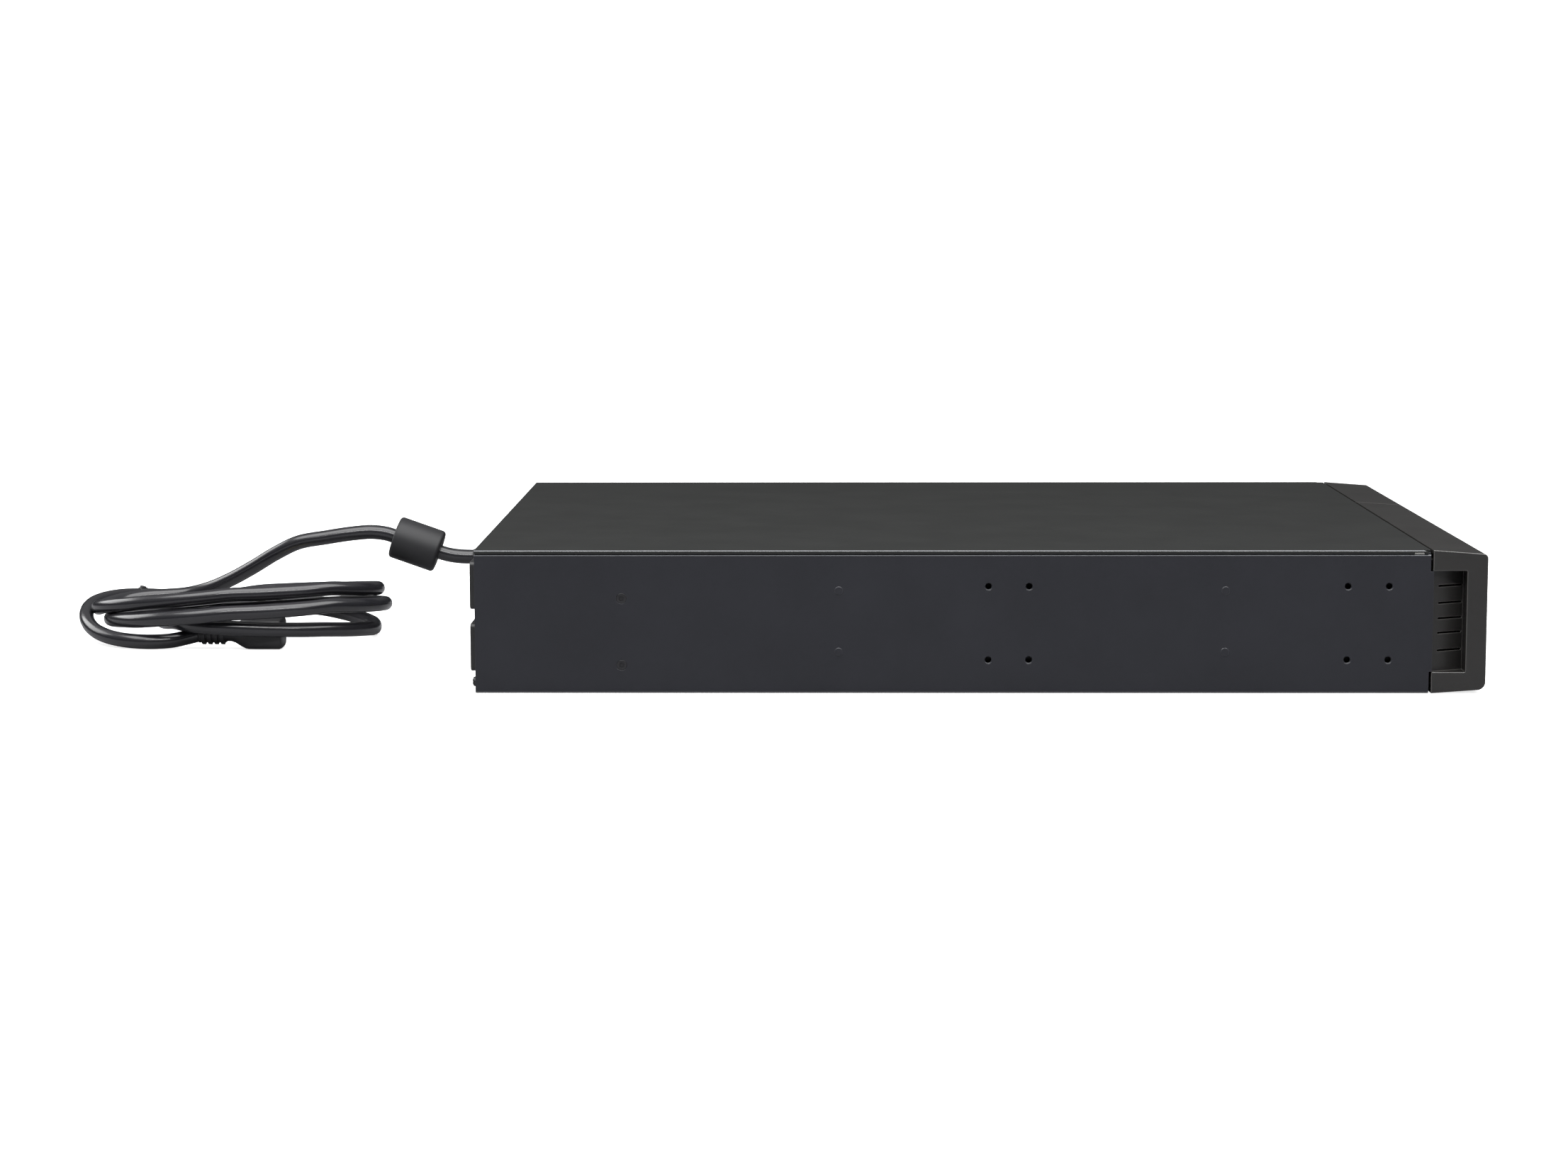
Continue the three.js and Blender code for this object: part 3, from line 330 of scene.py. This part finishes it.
CASE_PAINT = finish("case_powder_coat", tone(24, 25, 31), 0.46, specular=0.4, grain=(0.9, 0.02))
COVER_PAINT = finish("cover_powder_coat", tone(24, 25, 24), 0.5, specular=0.3, grain=(0.9, 0.02))
BEZEL_PLASTIC = finish("bezel_plastic", tone(30, 29, 28), 0.4, grain=(0.5, 0.012))
BLACK_PLASTIC = finish("black_moulding", tone(30, 30, 31), 0.45, grain=(0.6, 0.01))
BUTTON_PLASTIC = finish("button_plastic", tone(72, 74, 76), 0.4, grain=(0.5, 0.008))
RUBBER = finish("rubber", tone(28, 28, 30), 0.5, grain=(0.8, 0.02))
JACKET = finish("cord_jacket", tone(30, 30, 33), 0.22, specular=0.55, grain=(3, 0.015))
FERRITE_CASE = finish("ferrite_case", tone(30, 30, 32), 0.52, specular=0.35, grain=(0.7, 0.03))
LENS = finish("display_lens", tone(12, 13, 15), 0.07, coat=0.6, grain=(30, 0.02))
GLASS = finish("display_glass", tone(60, 74, 66), 0.25, mottle=0.04)
BOARD = finish("circuit_board", tone(24, 76, 48), 0.4, mottle=0.15, patch=90, grain=(3, 0.05))
ZINC = finish("zinc_plate", tone(176, 176, 170), 0.38, metal=1, mottle=0.12, patch=60, grain=(2, 0.02))
BLACK_STEEL = finish("black_steel", tone(52, 52, 54), 0.36, metal=0.7, mottle=0.1, grain=(0.8, 0.015))
ALUMINIUM = finish(
    "extruded_aluminium", tone(186, 188, 190), 0.36, metal=1, grain=(1.2, 0.02), streak=(0.08, 1, 1)
)
BATTERY_CASE = finish("battery_case", tone(44, 46, 50), 0.48, grain=(1.1, 0.03))
CONNECTOR = finish("connector", tone(150, 30, 26), 0.4, grain=(0.8, 0.01))
LAMINATION = finish(
    "laminations", tone(92, 88, 84), 0.45, metal=0.9, mottle=0.3, patch=400, grain=(0.6, 0.06),
    streak=(1, 0.05, 1),
)
WINDING = finish(
    "enamelled_winding", tone(150, 78, 34), 0.32, metal=0.6, mottle=0.25, grain=(1.4, 0.12),
    streak=(0.05, 1, 1),
)
SLEEVE = finish("capacitor_sleeve", tone(24, 40, 70), 0.3, grain=(2, 0.02))
BLADE_METAL = finish("plated_brass", tone(196, 188, 160), 0.24, metal=1, mottle=0.06, grain=(1, 0.01))
# Edge finishes: lower roughness, and a colour much lighter than the paint or moulding they edge. The
# lighter colour is a painted highlight along the rounded edges.
PAINTED_EDGE_HIGHLIGHT = finish("painted_edge_highlight", tone(60, 62, 66), 0.26, specular=0.7, grain=(0.9, 0.01))
MOULDED_EDGE_HIGHLIGHT = finish("moulded_edge_highlight", tone(60, 59, 57), 0.24, specular=0.7, grain=(0.5, 0.006))
# The battery tray's dark colour is painted shade. It makes the holes in the case side show black, as the
# shade inside them does.
TRAY_PAINTED_SHADE = finish("tray_painted_shade", tone(30, 31, 33), 0.5, grain=(0.9, 0.02))
BRASS = finish("contact_brass", tone(190, 158, 92), 0.3, metal=1, mottle=0.1, grain=(1, 0.01))

# ------------------------------------------------------------------ pieces from the CAD model

WELD_REACH = 0.01 * MM
FLAT_ANGLE = math.radians(0.8)
EDGE_ANGLE = math.radians(26)
# An edge face runs along the case: it leans, and faces both up and sideways. These faces take the edge
# finish, whose lighter colour is a painted highlight.
LENGTHWISE, LEANING = 0.05, 0.3
EDGE_HIGHLIGHT_FINISH = {CASE_PAINT: PAINTED_EDGE_HIGHLIGHT, COVER_PAINT: PAINTED_EDGE_HIGHLIGHT, BEZEL_PLASTIC: MOULDED_EDGE_HIGHLIGHT}


def soften(node, finish_material, edge, merge_flat):
    """Shows a CAD node with its finish and softly rounded edges. Where EDGE_HIGHLIGHT_FINISH names a
    second finish, the edges and the slopes along the case take that one. It is shinier, and its lighter
    colour is a painted highlight."""
    shown = nodes[node]
    mesh = shown.data
    mesh.materials.clear()
    mesh.materials.append(finish_material)
    mesh.polygons.foreach_set("use_smooth", [True] * len(mesh.polygons))
    edge_highlight = EDGE_HIGHLIGHT_FINISH.get(finish_material)
    if edge_highlight:
        mesh.materials.append(edge_highlight)
        for face in mesh.polygons:
            ahead, side, up = (abs(share) for share in face.normal)
            leans = ahead < LENGTHWISE and up > LEANING and side > LEANING
            face.material_index = 1 if leans else 0
    weld = shown.modifiers.new("weld", "WELD")
    weld.merge_threshold = WELD_REACH
    if merge_flat:
        flat = shown.modifiers.new("flat_faces", "DECIMATE")
        flat.decimate_type, flat.angle_limit = "DISSOLVE", FLAT_ANGLE
    bevel = shown.modifiers.new("edges", "BEVEL")
    bevel.width, bevel.segments, bevel.limit_method = edge * MM, 3, "ANGLE"
    bevel.angle_limit, bevel.harden_normals = EDGE_ANGLE, True
    bevel.use_clamp_overlap, bevel.miter_outer = merge_flat, "MITER_ARC"
    # The bevel faces take the edge finish with its painted highlight.
    bevel.material = 1 if edge_highlight else -1
    normals = shown.modifiers.new("even_normals", "WEIGHTED_NORMAL")
    normals.keep_sharp, normals.weight = True, 80


# Nodes with holes in their flat faces. Once such faces are merged, rounding their edges stretches
# them, so these nodes keep their triangles.
PIERCED = {"battery_door", "bezel_panel", "front_subframe", "rear_panel", "transformer_core"}

for node, finish_material, edge, slot in [
    ("chassis_tray", CASE_PAINT, 0.25, "case_paint"),
    ("top_cover", COVER_PAINT, 0.3, "cover_paint"),
    ("rear_panel", CASE_PAINT, 0.2, "case_paint"),
    ("battery_door", BEZEL_PLASTIC, 0.45, "bezel_plastic"),
    ("bezel_panel", BEZEL_PLASTIC, 0.45, "bezel_plastic"),
    ("front_subframe", ZINC, 0.2, "zinc"),
    ("bay_divider", ZINC, 0.3, "zinc"),
    ("battery_tray", TRAY_PAINTED_SHADE, 0.25, "zinc"),
    ("battery_1", BATTERY_CASE, 0.9, "battery_case"),
    ("battery_2", BATTERY_CASE, 0.9, "battery_case"),
    ("battery_3", BATTERY_CASE, 0.9, "battery_case"),
    ("battery_4", BATTERY_CASE, 0.9, "battery_case"),
    ("battery_plug", CONNECTOR, 0.4, "connector"),
    ("battery_socket", CONNECTOR, 0.4, "connector"),
    ("port_block", BLACK_PLASTIC, 0.25, "black_plastic"),
    ("display_lens", LENS, 0.15, "display_lens"),
    ("display_module", GLASS, 0.2, "display"),
    ("control_board", BOARD, 0.1, "circuit_board"),
    ("main_board", BOARD, 0.1, "circuit_board"),
    ("heat_sink_1", ALUMINIUM, 0.2, "aluminium"),
    ("heat_sink_2", ALUMINIUM, 0.2, "aluminium"),
    ("capacitor", SLEEVE, 1.2, "sleeve"),
    ("choke", WINDING, 0.3, "winding"),
    ("transformer_core", LAMINATION, 0.5, "laminations"),
    ("transformer_winding", WINDING, 2.0, "winding"),
    ("fan_frame", BLACK_PLASTIC, 0.4, "black_plastic"),
    ("fan_rotor", BLACK_PLASTIC, 0.25, "black_plastic"),
    ("fan_guard", BLACK_STEEL, 0.3, "zinc"),
    ("slot_cover", CASE_PAINT, 0.2, "case_paint"),
    ("breaker_1", BLACK_PLASTIC, 0.3, "black_plastic"),
    ("breaker_2", BLACK_PLASTIC, 0.3, "black_plastic"),
    ("breaker_button_1", BUTTON_PLASTIC, 0.4, "button_plastic"),
    ("breaker_button_2", BUTTON_PLASTIC, 0.4, "button_plastic"),
    ("power_button", BUTTON_PLASTIC, 0.5, "button_plastic"),
    ("mute_button", BUTTON_PLASTIC, 0.5, "button_plastic"),
    ("scroll_button", BUTTON_PLASTIC, 0.5, "button_plastic"),
    ("plug_blade_line", BLADE_METAL, 0.2, "blade"),
    ("plug_blade_neutral", BLADE_METAL, 0.2, "blade"),
    ("plug_pin_ground", BLADE_METAL, 0.2, "blade"),
]:
    soften(node, finish_material, edge, node not in PIERCED)

# ------------------------------------------------------------------ shapes for the finer pieces

LEAST_RADIUS = 0.01
SLAB_ROUND_STEPS = 4


def facing(direction):
    """Three axes, the first along direction."""
    along = Vector(direction).normalized()
    side = along.cross(Vector((0, 0, 1)))
    side = side.normalized() if side.length > 0.01 else Vector((1, 0, 0))
    return along, side, side.cross(along)


def skin(rings):
    """A closed surface through rings that have equally many points."""
    count = len(rings[0])
    points = [tuple(p) for ring in rings for p in ring]
    faces = []
    for row in range(len(rings) - 1):
        for i in range(count):
            j = (i + 1) % count
            here, beyond = row * count, (row + 1) * count
            faces.append((here + i, here + j, beyond + j, beyond + i))
    faces.append(tuple(range(count))[::-1])
    faces.append(tuple(range((len(rings) - 1) * count, len(rings) * count)))
    return points, faces


def turned(profile, centre, direction=(1, 0, 0), steps=40):
    """A turned shape: profile lists (distance along the axis, radius)."""
    along, side, up = facing(direction)
    centre = Vector(centre)
    rings = []
    for reach, radius in profile:
        turn = [2 * math.pi * i / steps for i in range(steps)]
        middle, wide = centre + along * reach, max(radius, LEAST_RADIUS)
        rings.append([middle + (side * math.cos(a) + up * math.sin(a)) * wide for a in turn])
    return skin(rings)


def oval(half_width, half_height, squareness, steps):
    """Points round a superellipse: squareness 2 is an ellipse, and more makes it boxier."""
    points = []
    for i in range(steps):
        angle = 2 * math.pi * i / steps
        c, s = math.cos(angle), math.sin(angle)
        points.append((
            half_width * math.copysign(abs(c) ** (2 / squareness), c),
            half_height * math.copysign(abs(s) ** (2 / squareness), s),
        ))
    return points


def rounded_outline(width, height, radius, steps=5):
    """Points round a rectangle with rounded corners."""
    points = []
    for corner, (sx, sy) in enumerate([(1, 1), (-1, 1), (-1, -1), (1, -1)]):
        for step in range(steps + 1):
            angle = math.pi / 2 * (corner + step / steps)
            points.append((
                sx * (width / 2 - radius) + radius * math.cos(angle),
                sy * (height / 2 - radius) + radius * math.sin(angle),
            ))
    return points


def slab(centre, size, corner, edge, direction=(1, 0, 0)):
    """A block of that (width, height, depth) that stands out along direction from centre, with
    rounded corners and a rounded front edge."""
    along, side, up = facing(direction)
    centre = Vector(centre)
    width, height, depth = size
    rings = []
    for step in range(SLAB_ROUND_STEPS + 2):
        angle = math.pi / 2 * (step - 1) / SLAB_ROUND_STEPS if step else 0
        inset = edge * (1 - math.cos(angle)) if step else 0
        reach = depth - edge + edge * math.sin(angle) if step else 0
        outline = rounded_outline(width - 2 * inset, height - 2 * inset, max(corner - inset, 0.05))
        rings.append([centre + along * reach + side * u + up * v for u, v in outline])
    return skin(rings)


def object_from(name, shapes):
    """One mesh object from several shapes in case millimetres."""
    points, faces = [], []
    for shape_points, shape_faces in shapes:
        start = len(points)
        points += [at(*p) for p in shape_points]
        faces += [tuple(start + i for i in face) for face in shape_faces]
    mesh = bpy.data.meshes.new(name)
    mesh.from_pydata(points, [], faces)
    work = bmesh.new()
    work.from_mesh(mesh)
    bmesh.ops.recalc_face_normals(work, faces=work.faces)
    work.to_mesh(mesh)
    work.free()
    made = bpy.data.objects.new(name, mesh)
    bpy.context.scene.collection.objects.link(made)
    return made


def piece(name, shapes, finish_material, body="case", stands_for=(), edge=0.0, angle=35):
    """A named piece that rides on a body."""
    made = object_from(name, shapes)
    made.data.materials.append(finish_material)
    made.data.polygons.foreach_set("use_smooth", [True] * len(made.data.polygons))
    if edge:
        bevel = made.modifiers.new("edges", "BEVEL")
        bevel.width, bevel.segments, bevel.limit_method = edge * MM, 2, "ANGLE"
        bevel.angle_limit, bevel.harden_normals = math.radians(angle), True
    else:
        split = made.modifiers.new("creases", "EDGE_SPLIT")
        split.split_angle = math.radians(angle)
    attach(made, body)
    if stands_for:
        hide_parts(*stands_for)
    return made


def carve(block, cutters):
    """Cuts the cutter objects out of block and takes them away."""
    for cutter in cutters:
        modifier = block.modifiers.new("cut", "BOOLEAN")
        modifier.operation, modifier.object, modifier.solver = "DIFFERENCE", cutter, "EXACT"
    bpy.context.view_layer.update()
    shaped = block.evaluated_get(bpy.context.evaluated_depsgraph_get())
    cut_mesh = bpy.data.meshes.new_from_object(shaped)
    block.modifiers.clear()
    block.data = cut_mesh
    for cutter in cutters:
        bpy.data.objects.remove(cutter)


# ------------------------------------------------------------------ screws


HEAD_STEPS, HEAD_SKIRT = 64, 0.6
# Rings of the head's dome, from its rim inwards, as shares of its radius.
DOME_SHARES = [0.85, 0.75, 0.66, 0.6, 0.55, 0.5, 0.45, 0.4, 0.34, 0.28, 0.22, 0.16, 0.11, 0.07, 0.03]


def screw_head(centre, direction, radius, rise, recess, depth, style="cross"):
    """A domed head with a cross or a round socket sunk in it. recess is how far the socket reaches
    from the middle."""
    along, side, up = facing(direction)
    centre = Vector(centre)
    turn = [2 * math.pi * i / HEAD_STEPS for i in range(HEAD_STEPS)]

    def ring(radius_here, height):
        made = []
        for a in turn:
            u, v = radius_here * math.cos(a), radius_here * math.sin(a)
            arm = min(abs(u), abs(v)) if style == "cross" else 0
            wing = 0.17 * recess + 0.12 * recess * (1 - min(radius_here / recess, 1))
            edge_share = max(0.0, min(1.0, (wing - arm) / (0.08 * recess) + 0.5))
            reach_share = max(0.0, min(1.0, (recess - radius_here) / (0.1 * recess)))
            sunk = depth * edge_share * reach_share * (1 - 0.35 * radius_here / recess)
            made.append(centre + side * u + up * v + along * (height - sunk))
        return made

    rings = [ring(radius, -HEAD_SKIRT), ring(radius, 0.0)]
    for step in range(1, 5):
        angle = math.pi / 2 * step / 4
        rings.append(ring(radius * (0.9 + 0.1 * math.cos(angle)), rise * 0.6 * math.sin(angle)))
    for share in DOME_SHARES:
        rings.append(ring(radius * share, rise * (1 - 0.4 * share * share)))
    return skin(rings)


HALF_WIDTH = 219.0
SIDE_SCREW_X, SIDE_SCREW_ROWS = 88.8, (17.2, 57.8)
SIDE_HEAD = {"radius": 3.1, "rise": 0.25, "recess": 1.5, "depth": 3.5, "style": "socket"}
SIDE_HEAD_SUNK = 0.1
PAN_RECESS_SHARE, PAN_RECESS_DEPTH = 0.62, 1.2
PANEL_FACE, SLOT_COVER_FACE = -0.2, -1.6

side_places = [(way, z) for way in (-1, 1) for z in SIDE_SCREW_ROWS]
for number, (way, z) in enumerate(side_places, start=1):
    head_centre = (SIDE_SCREW_X, way * (HALF_WIDTH - SIDE_HEAD_SUNK), z)
    flat_head = screw_head(head_centre, (0, way, 0), **SIDE_HEAD)
    piece(
        f"side_screw_{number}_head", [flat_head], BLACK_STEEL, stands_for=[f"side_screw_{number}"],
        angle=50,
    )
for node, y, z, radius, face, finish_material in [
    ("rear_screw_1", -212.5, 6.2, 3.0, PANEL_FACE, BLACK_STEEL),
    ("rear_screw_2", 212.5, 6.2, 3.0, PANEL_FACE, BLACK_STEEL),
    ("slot_screw_1", 55, 58, 3.0, SLOT_COVER_FACE, ZINC),
    ("slot_screw_2", 113, 58, 3.0, SLOT_COVER_FACE, ZINC),
    ("ground_screw", 30, 17, 3.9, PANEL_FACE, BRASS),
]:
    low, _ = case_box(node)
    recess = radius * PAN_RECESS_SHARE
    pan = screw_head((face, y, z), (-1, 0, 0), radius, face - low[0], recess, PAN_RECESS_DEPTH)
    shank = turned([(0, 1.6), (8, 1.6), (8.6, 1.1)], (0, y, z), steps=20)
    piece(node + "_head", [pan, shank], finish_material, stands_for=[node], angle=50)

# Bare metal that shows through the slot in the cover's front corner.
TAB_CENTRE, TAB_SIZE = (569.1, -HALF_WIDTH + 1.1, 85.1), (5.8, 1.0, 0.7)
corner_tab = slab(TAB_CENTRE, TAB_SIZE, 0.3, 0.1, (0, -1, 0))
piece("cover_corner_tab", [corner_tab], ZINC)

# ------------------------------------------------------------------ outlets

OUTLET_COLUMNS, OUTLET_ROWS = (-189.5, -150, -110.5), (26.3, 64.2)
OUTLET_FACE, OUTLET_BODY, OUTLET_PROUD = (37, 29.2), (33, 25), 3.9
OUTLET_DEPTH = 22
# The upright slots: across and up from the outlet's middle, then width and height.
OUTLET_SLOTS = [(-6.4, 3.2, 2.4, 8.4), (6.4, 3.2, 2.4, 7.2)]
# The brass strips in the slots: across and up from the outlet's middle, then height.
OUTLET_STRIPS = [(-7.2, 3.2, 6.5), (7.2, 3.2, 5.6)]
EARTH_DROP, EARTH_RADIUS = 6.6, 2.6
EARTH_CONTACT = [(3, 2.0), (0.4, 2.0), (0.4, 2.5), (3.2, 2.5)]


def outlet(name, y, z):
    """A three-hole outlet: a rounded face with a sunk field and its holes, and the body behind."""
    rearward = (-1, 0, 0)
    width, height = OUTLET_FACE
    front = slab((-0.1, y, z), (width, height, OUTLET_PROUD), 2.6, 0.8, rearward)
    block = object_from("outlet_block", [front])
    holes = []
    for across, up, hole_width, hole_height in OUTLET_SLOTS:
        holes.append(slab((4, y + across, z + up), (hole_width, hole_height, 12), 0.35, 0.1, rearward))
    earth = [(-9, EARTH_RADIUS), (4, EARTH_RADIUS)]
    holes.append(turned(earth, (0, y, z - EARTH_DROP), steps=28))
    field = (width - 9, height - 6, 3)
    holes.append(slab((-OUTLET_PROUD + 0.6, y, z), field, 3.5, 0.4, rearward))
    body = slab((0.5, y, z), (*OUTLET_BODY, OUTLET_DEPTH), 2, 0.5, (1, 0, 0))
    body_block = object_from("outlet_body", [body])
    carve(block, [object_from("hole", [hole]) for hole in holes])
    points, faces = [], []
    for part in [block, body_block]:
        start = len(points)
        points += [v.co.copy() for v in part.data.vertices]
        faces += [tuple(start + i for i in f.vertices) for f in part.data.polygons]
        bpy.data.objects.remove(part)
    mesh = bpy.data.meshes.new(name)
    mesh.from_pydata(points, [], faces)
    whole = bpy.data.objects.new(name, mesh)
    bpy.context.scene.collection.objects.link(whole)
    mesh.materials.append(BLACK_PLASTIC)
    mesh.polygons.foreach_set("use_smooth", [True] * len(mesh.polygons))
    split = whole.modifiers.new("creases", "EDGE_SPLIT")
    split.split_angle = math.radians(32)
    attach(whole, "case")
    return whole


outlet_places = [(y, z) for z in OUTLET_ROWS for y in OUTLET_COLUMNS]
for number, (y, z) in enumerate(outlet_places, start=1):
    socket = outlet(f"outlet_{number}_face", y, z)
    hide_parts(f"outlet_{number}")
    strips = []
    for across, up, strip_height in OUTLET_STRIPS:
        strip_size = (0.5, strip_height, 3.2)
        strips.append(slab((3, y + across, z + up), strip_size, 0.1, 0.1, (-1, 0, 0)))
    strips.append(turned(EARTH_CONTACT, (0, y, z - EARTH_DROP), steps=24))
    piece(f"outlet_{number}_contacts", strips, BRASS)

# ------------------------------------------------------------------ mains lead, shown


def curve_tube(name, line, radius, resolution=6):
    """A round tube along a line of case points."""
    data = bpy.data.curves.new(name, "CURVE")
    data.dimensions = "3D"
    data.bevel_depth, data.bevel_resolution, data.use_fill_caps = radius * MM, resolution, True
    spline = data.splines.new("POLY")
    spline.points.add(len(line) - 1)
    for point, place in zip(spline.points, line):
        point.co = (*at(*place), 1)
    spline.use_smooth = True
    data.materials.append(JACKET)
    tube = bpy.data.objects.new(name, data)
    bpy.context.scene.collection.objects.link(tube)
    return tube


cord = curve_tube("mains_cord", ROUTE, CORD / 2)
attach(cord, "case")
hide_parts("cord_lead", "cord_run", "cord_coil")

# The gland: a ribbed, tapered sleeve, a flange and a six-sided nut behind the panel.
EXIT = (0, 30, 54)
BOOT_RIBS, BOOT_RIB_PITCH, BOOT_RIB_TAPER, BOOT_RIB_DEPTH = 5, 3.6, 0.62, 0.9
sleeve = [(-0.3, 8.6), (7, 8.6), (7.4, 8.2)]
for rib in range(BOOT_RIBS):
    start, radius = 8 + rib * BOOT_RIB_PITCH, 8.0 - rib * BOOT_RIB_TAPER
    groove = radius - BOOT_RIB_DEPTH
    sleeve += [(start, groove), (start + 0.5, groove), (start + 0.9, radius), (start + 3.0, radius)]
sleeve += [(26.6, 5.3), (27, 5.0), (27, 4.4)]
flange = [(0.2, 9), (0.3, 12.2), (0.6, 12.5), (5.6, 12.5), (6.6, 12.0), (7, 11.2), (7, 8)]
nut = [(1.8, 10), (1.8, 12), (5.6, 12), (6, 11.4), (6, 5)]
gland = piece(
    "cord_gland_boot",
    [
        turned(sleeve, EXIT, (-1, 0, 0)),
        turned(flange, EXIT, (-1, 0, 0), steps=12),
        turned(nut, EXIT, steps=6),
    ],
    RUBBER, stands_for=["cord_gland"], edge=0.25,
)

# The ferrite: a sleeve with rounded rims and a slightly sunk mouth at each end.
FERRITE_ROUND, FERRITE_ROUND_STEPS = 2.3, 5
ferrite_axis = (-math.cos(FERRITE_RISE), 0, math.sin(FERRITE_RISE))
half, radius = FERRITE_LENGTH / 2, FERRITE_RADIUS
ferrite_profile = [(-half + 1.2, 4.8), (-half, 5.4), (-half, radius - FERRITE_ROUND)]
for step in range(1, FERRITE_ROUND_STEPS + 1):
    angle = math.pi / 2 * step / FERRITE_ROUND_STEPS
    inward = FERRITE_ROUND * (1 - math.cos(angle))
    ferrite_profile.append((-half + inward, radius - FERRITE_ROUND * (1 - math.sin(angle))))
ferrite_profile += [(-reach, wide) for reach, wide in reversed(ferrite_profile)]
ferrite = piece(
    "ferrite_sleeve", [turned(ferrite_profile, FERRITE_CENTRE, ferrite_axis, steps=64)], FERRITE_CASE,
    stands_for=["ferrite"],
)

# The plug: a ribbed neck, a waist, and a grip that widens to its face.
# Each station is (along x, half width, half height, middle height, squareness).
NECK_RIBS, NECK_RIB_PITCH = 4, 4.2
px, pz = PLUG["x"], PLUG["z"]
plug_stations = [(px - PLUG["relief"], 5.0, 5.0, 9, 2), (px - PLUG["relief"] + 0.6, 5.6, 5.6, 9, 2)]
for rib in range(NECK_RIBS):
    start = px - 14.2 + rib * NECK_RIB_PITCH
    plug_stations += [
        (start, 5.4, 5.4, 9, 2), (start + 1.1, 5.4, 5.4, 9, 2), (start + 1.4, 6.5, 6.5, 9, 2),
        (start + 3.6, 6.7, 6.7, 9, 2), (start + 4.0, 5.6, 5.6, 9, 2),
    ]
plug_stations += [
    (px + 4, 5.2, 4.9, 9.4, 2), (px + 6.5, 5.6, 5.2, 9.7, 2.1), (px + 9.5, 7.2, 6.4, 10, 2.4),
    (px + 13, 9.8, 8.4, 10.2, 2.9), (px + 17, 12.2, 10.1, pz, 3.6), (px + 19, 12.8, 10.3, pz, 4.2),
    (px + 24, 13, 10.3, pz, 4.6), (px + 39.2, 13, 10.3, pz, 4.6), (px + 40.4, 12.6, 9.9, pz, 4.4),
    (px + 41, 11.9, 9.2, pz, 4.2),
]
plug_rings = []
for x, half_width, half_height, middle, squareness in plug_stations:
    outline = oval(half_width, half_height, squareness, 48)
    plug_rings.append([(x, PLUG["y"] + u, middle + v) for u, v in outline])
plug = piece("plug_body", [skin(plug_rings)], RUBBER, stands_for=["plug"], angle=60)

# A thin tie round the outer strand at the back of the coil.
TIE_NEAR = Vector((-267, 95, 22))
place = min(range(1, len(ROUTE) - 1), key=lambda i: (ROUTE[i] - TIE_NEAR).length)
tie_axis = ROUTE[place + 1] - ROUTE[place - 1]
tie_profile = [(-3, 4.4), (-3, 5.1), (-2.6, 5.5), (2.6, 5.5), (3, 5.1), (3, 4.4)]
tie_centre = ROUTE[place]
tie = piece(
    "cord_tie",
    [
        turned(tie_profile, tie_centre, tie_axis),
        slab(tie_centre + Vector((0, -1, 4.4)), (3.6, 4, 2.4), 1, 0.8, (0.25, 0.2, 1)),
    ],
    BLACK_PLASTIC,
)
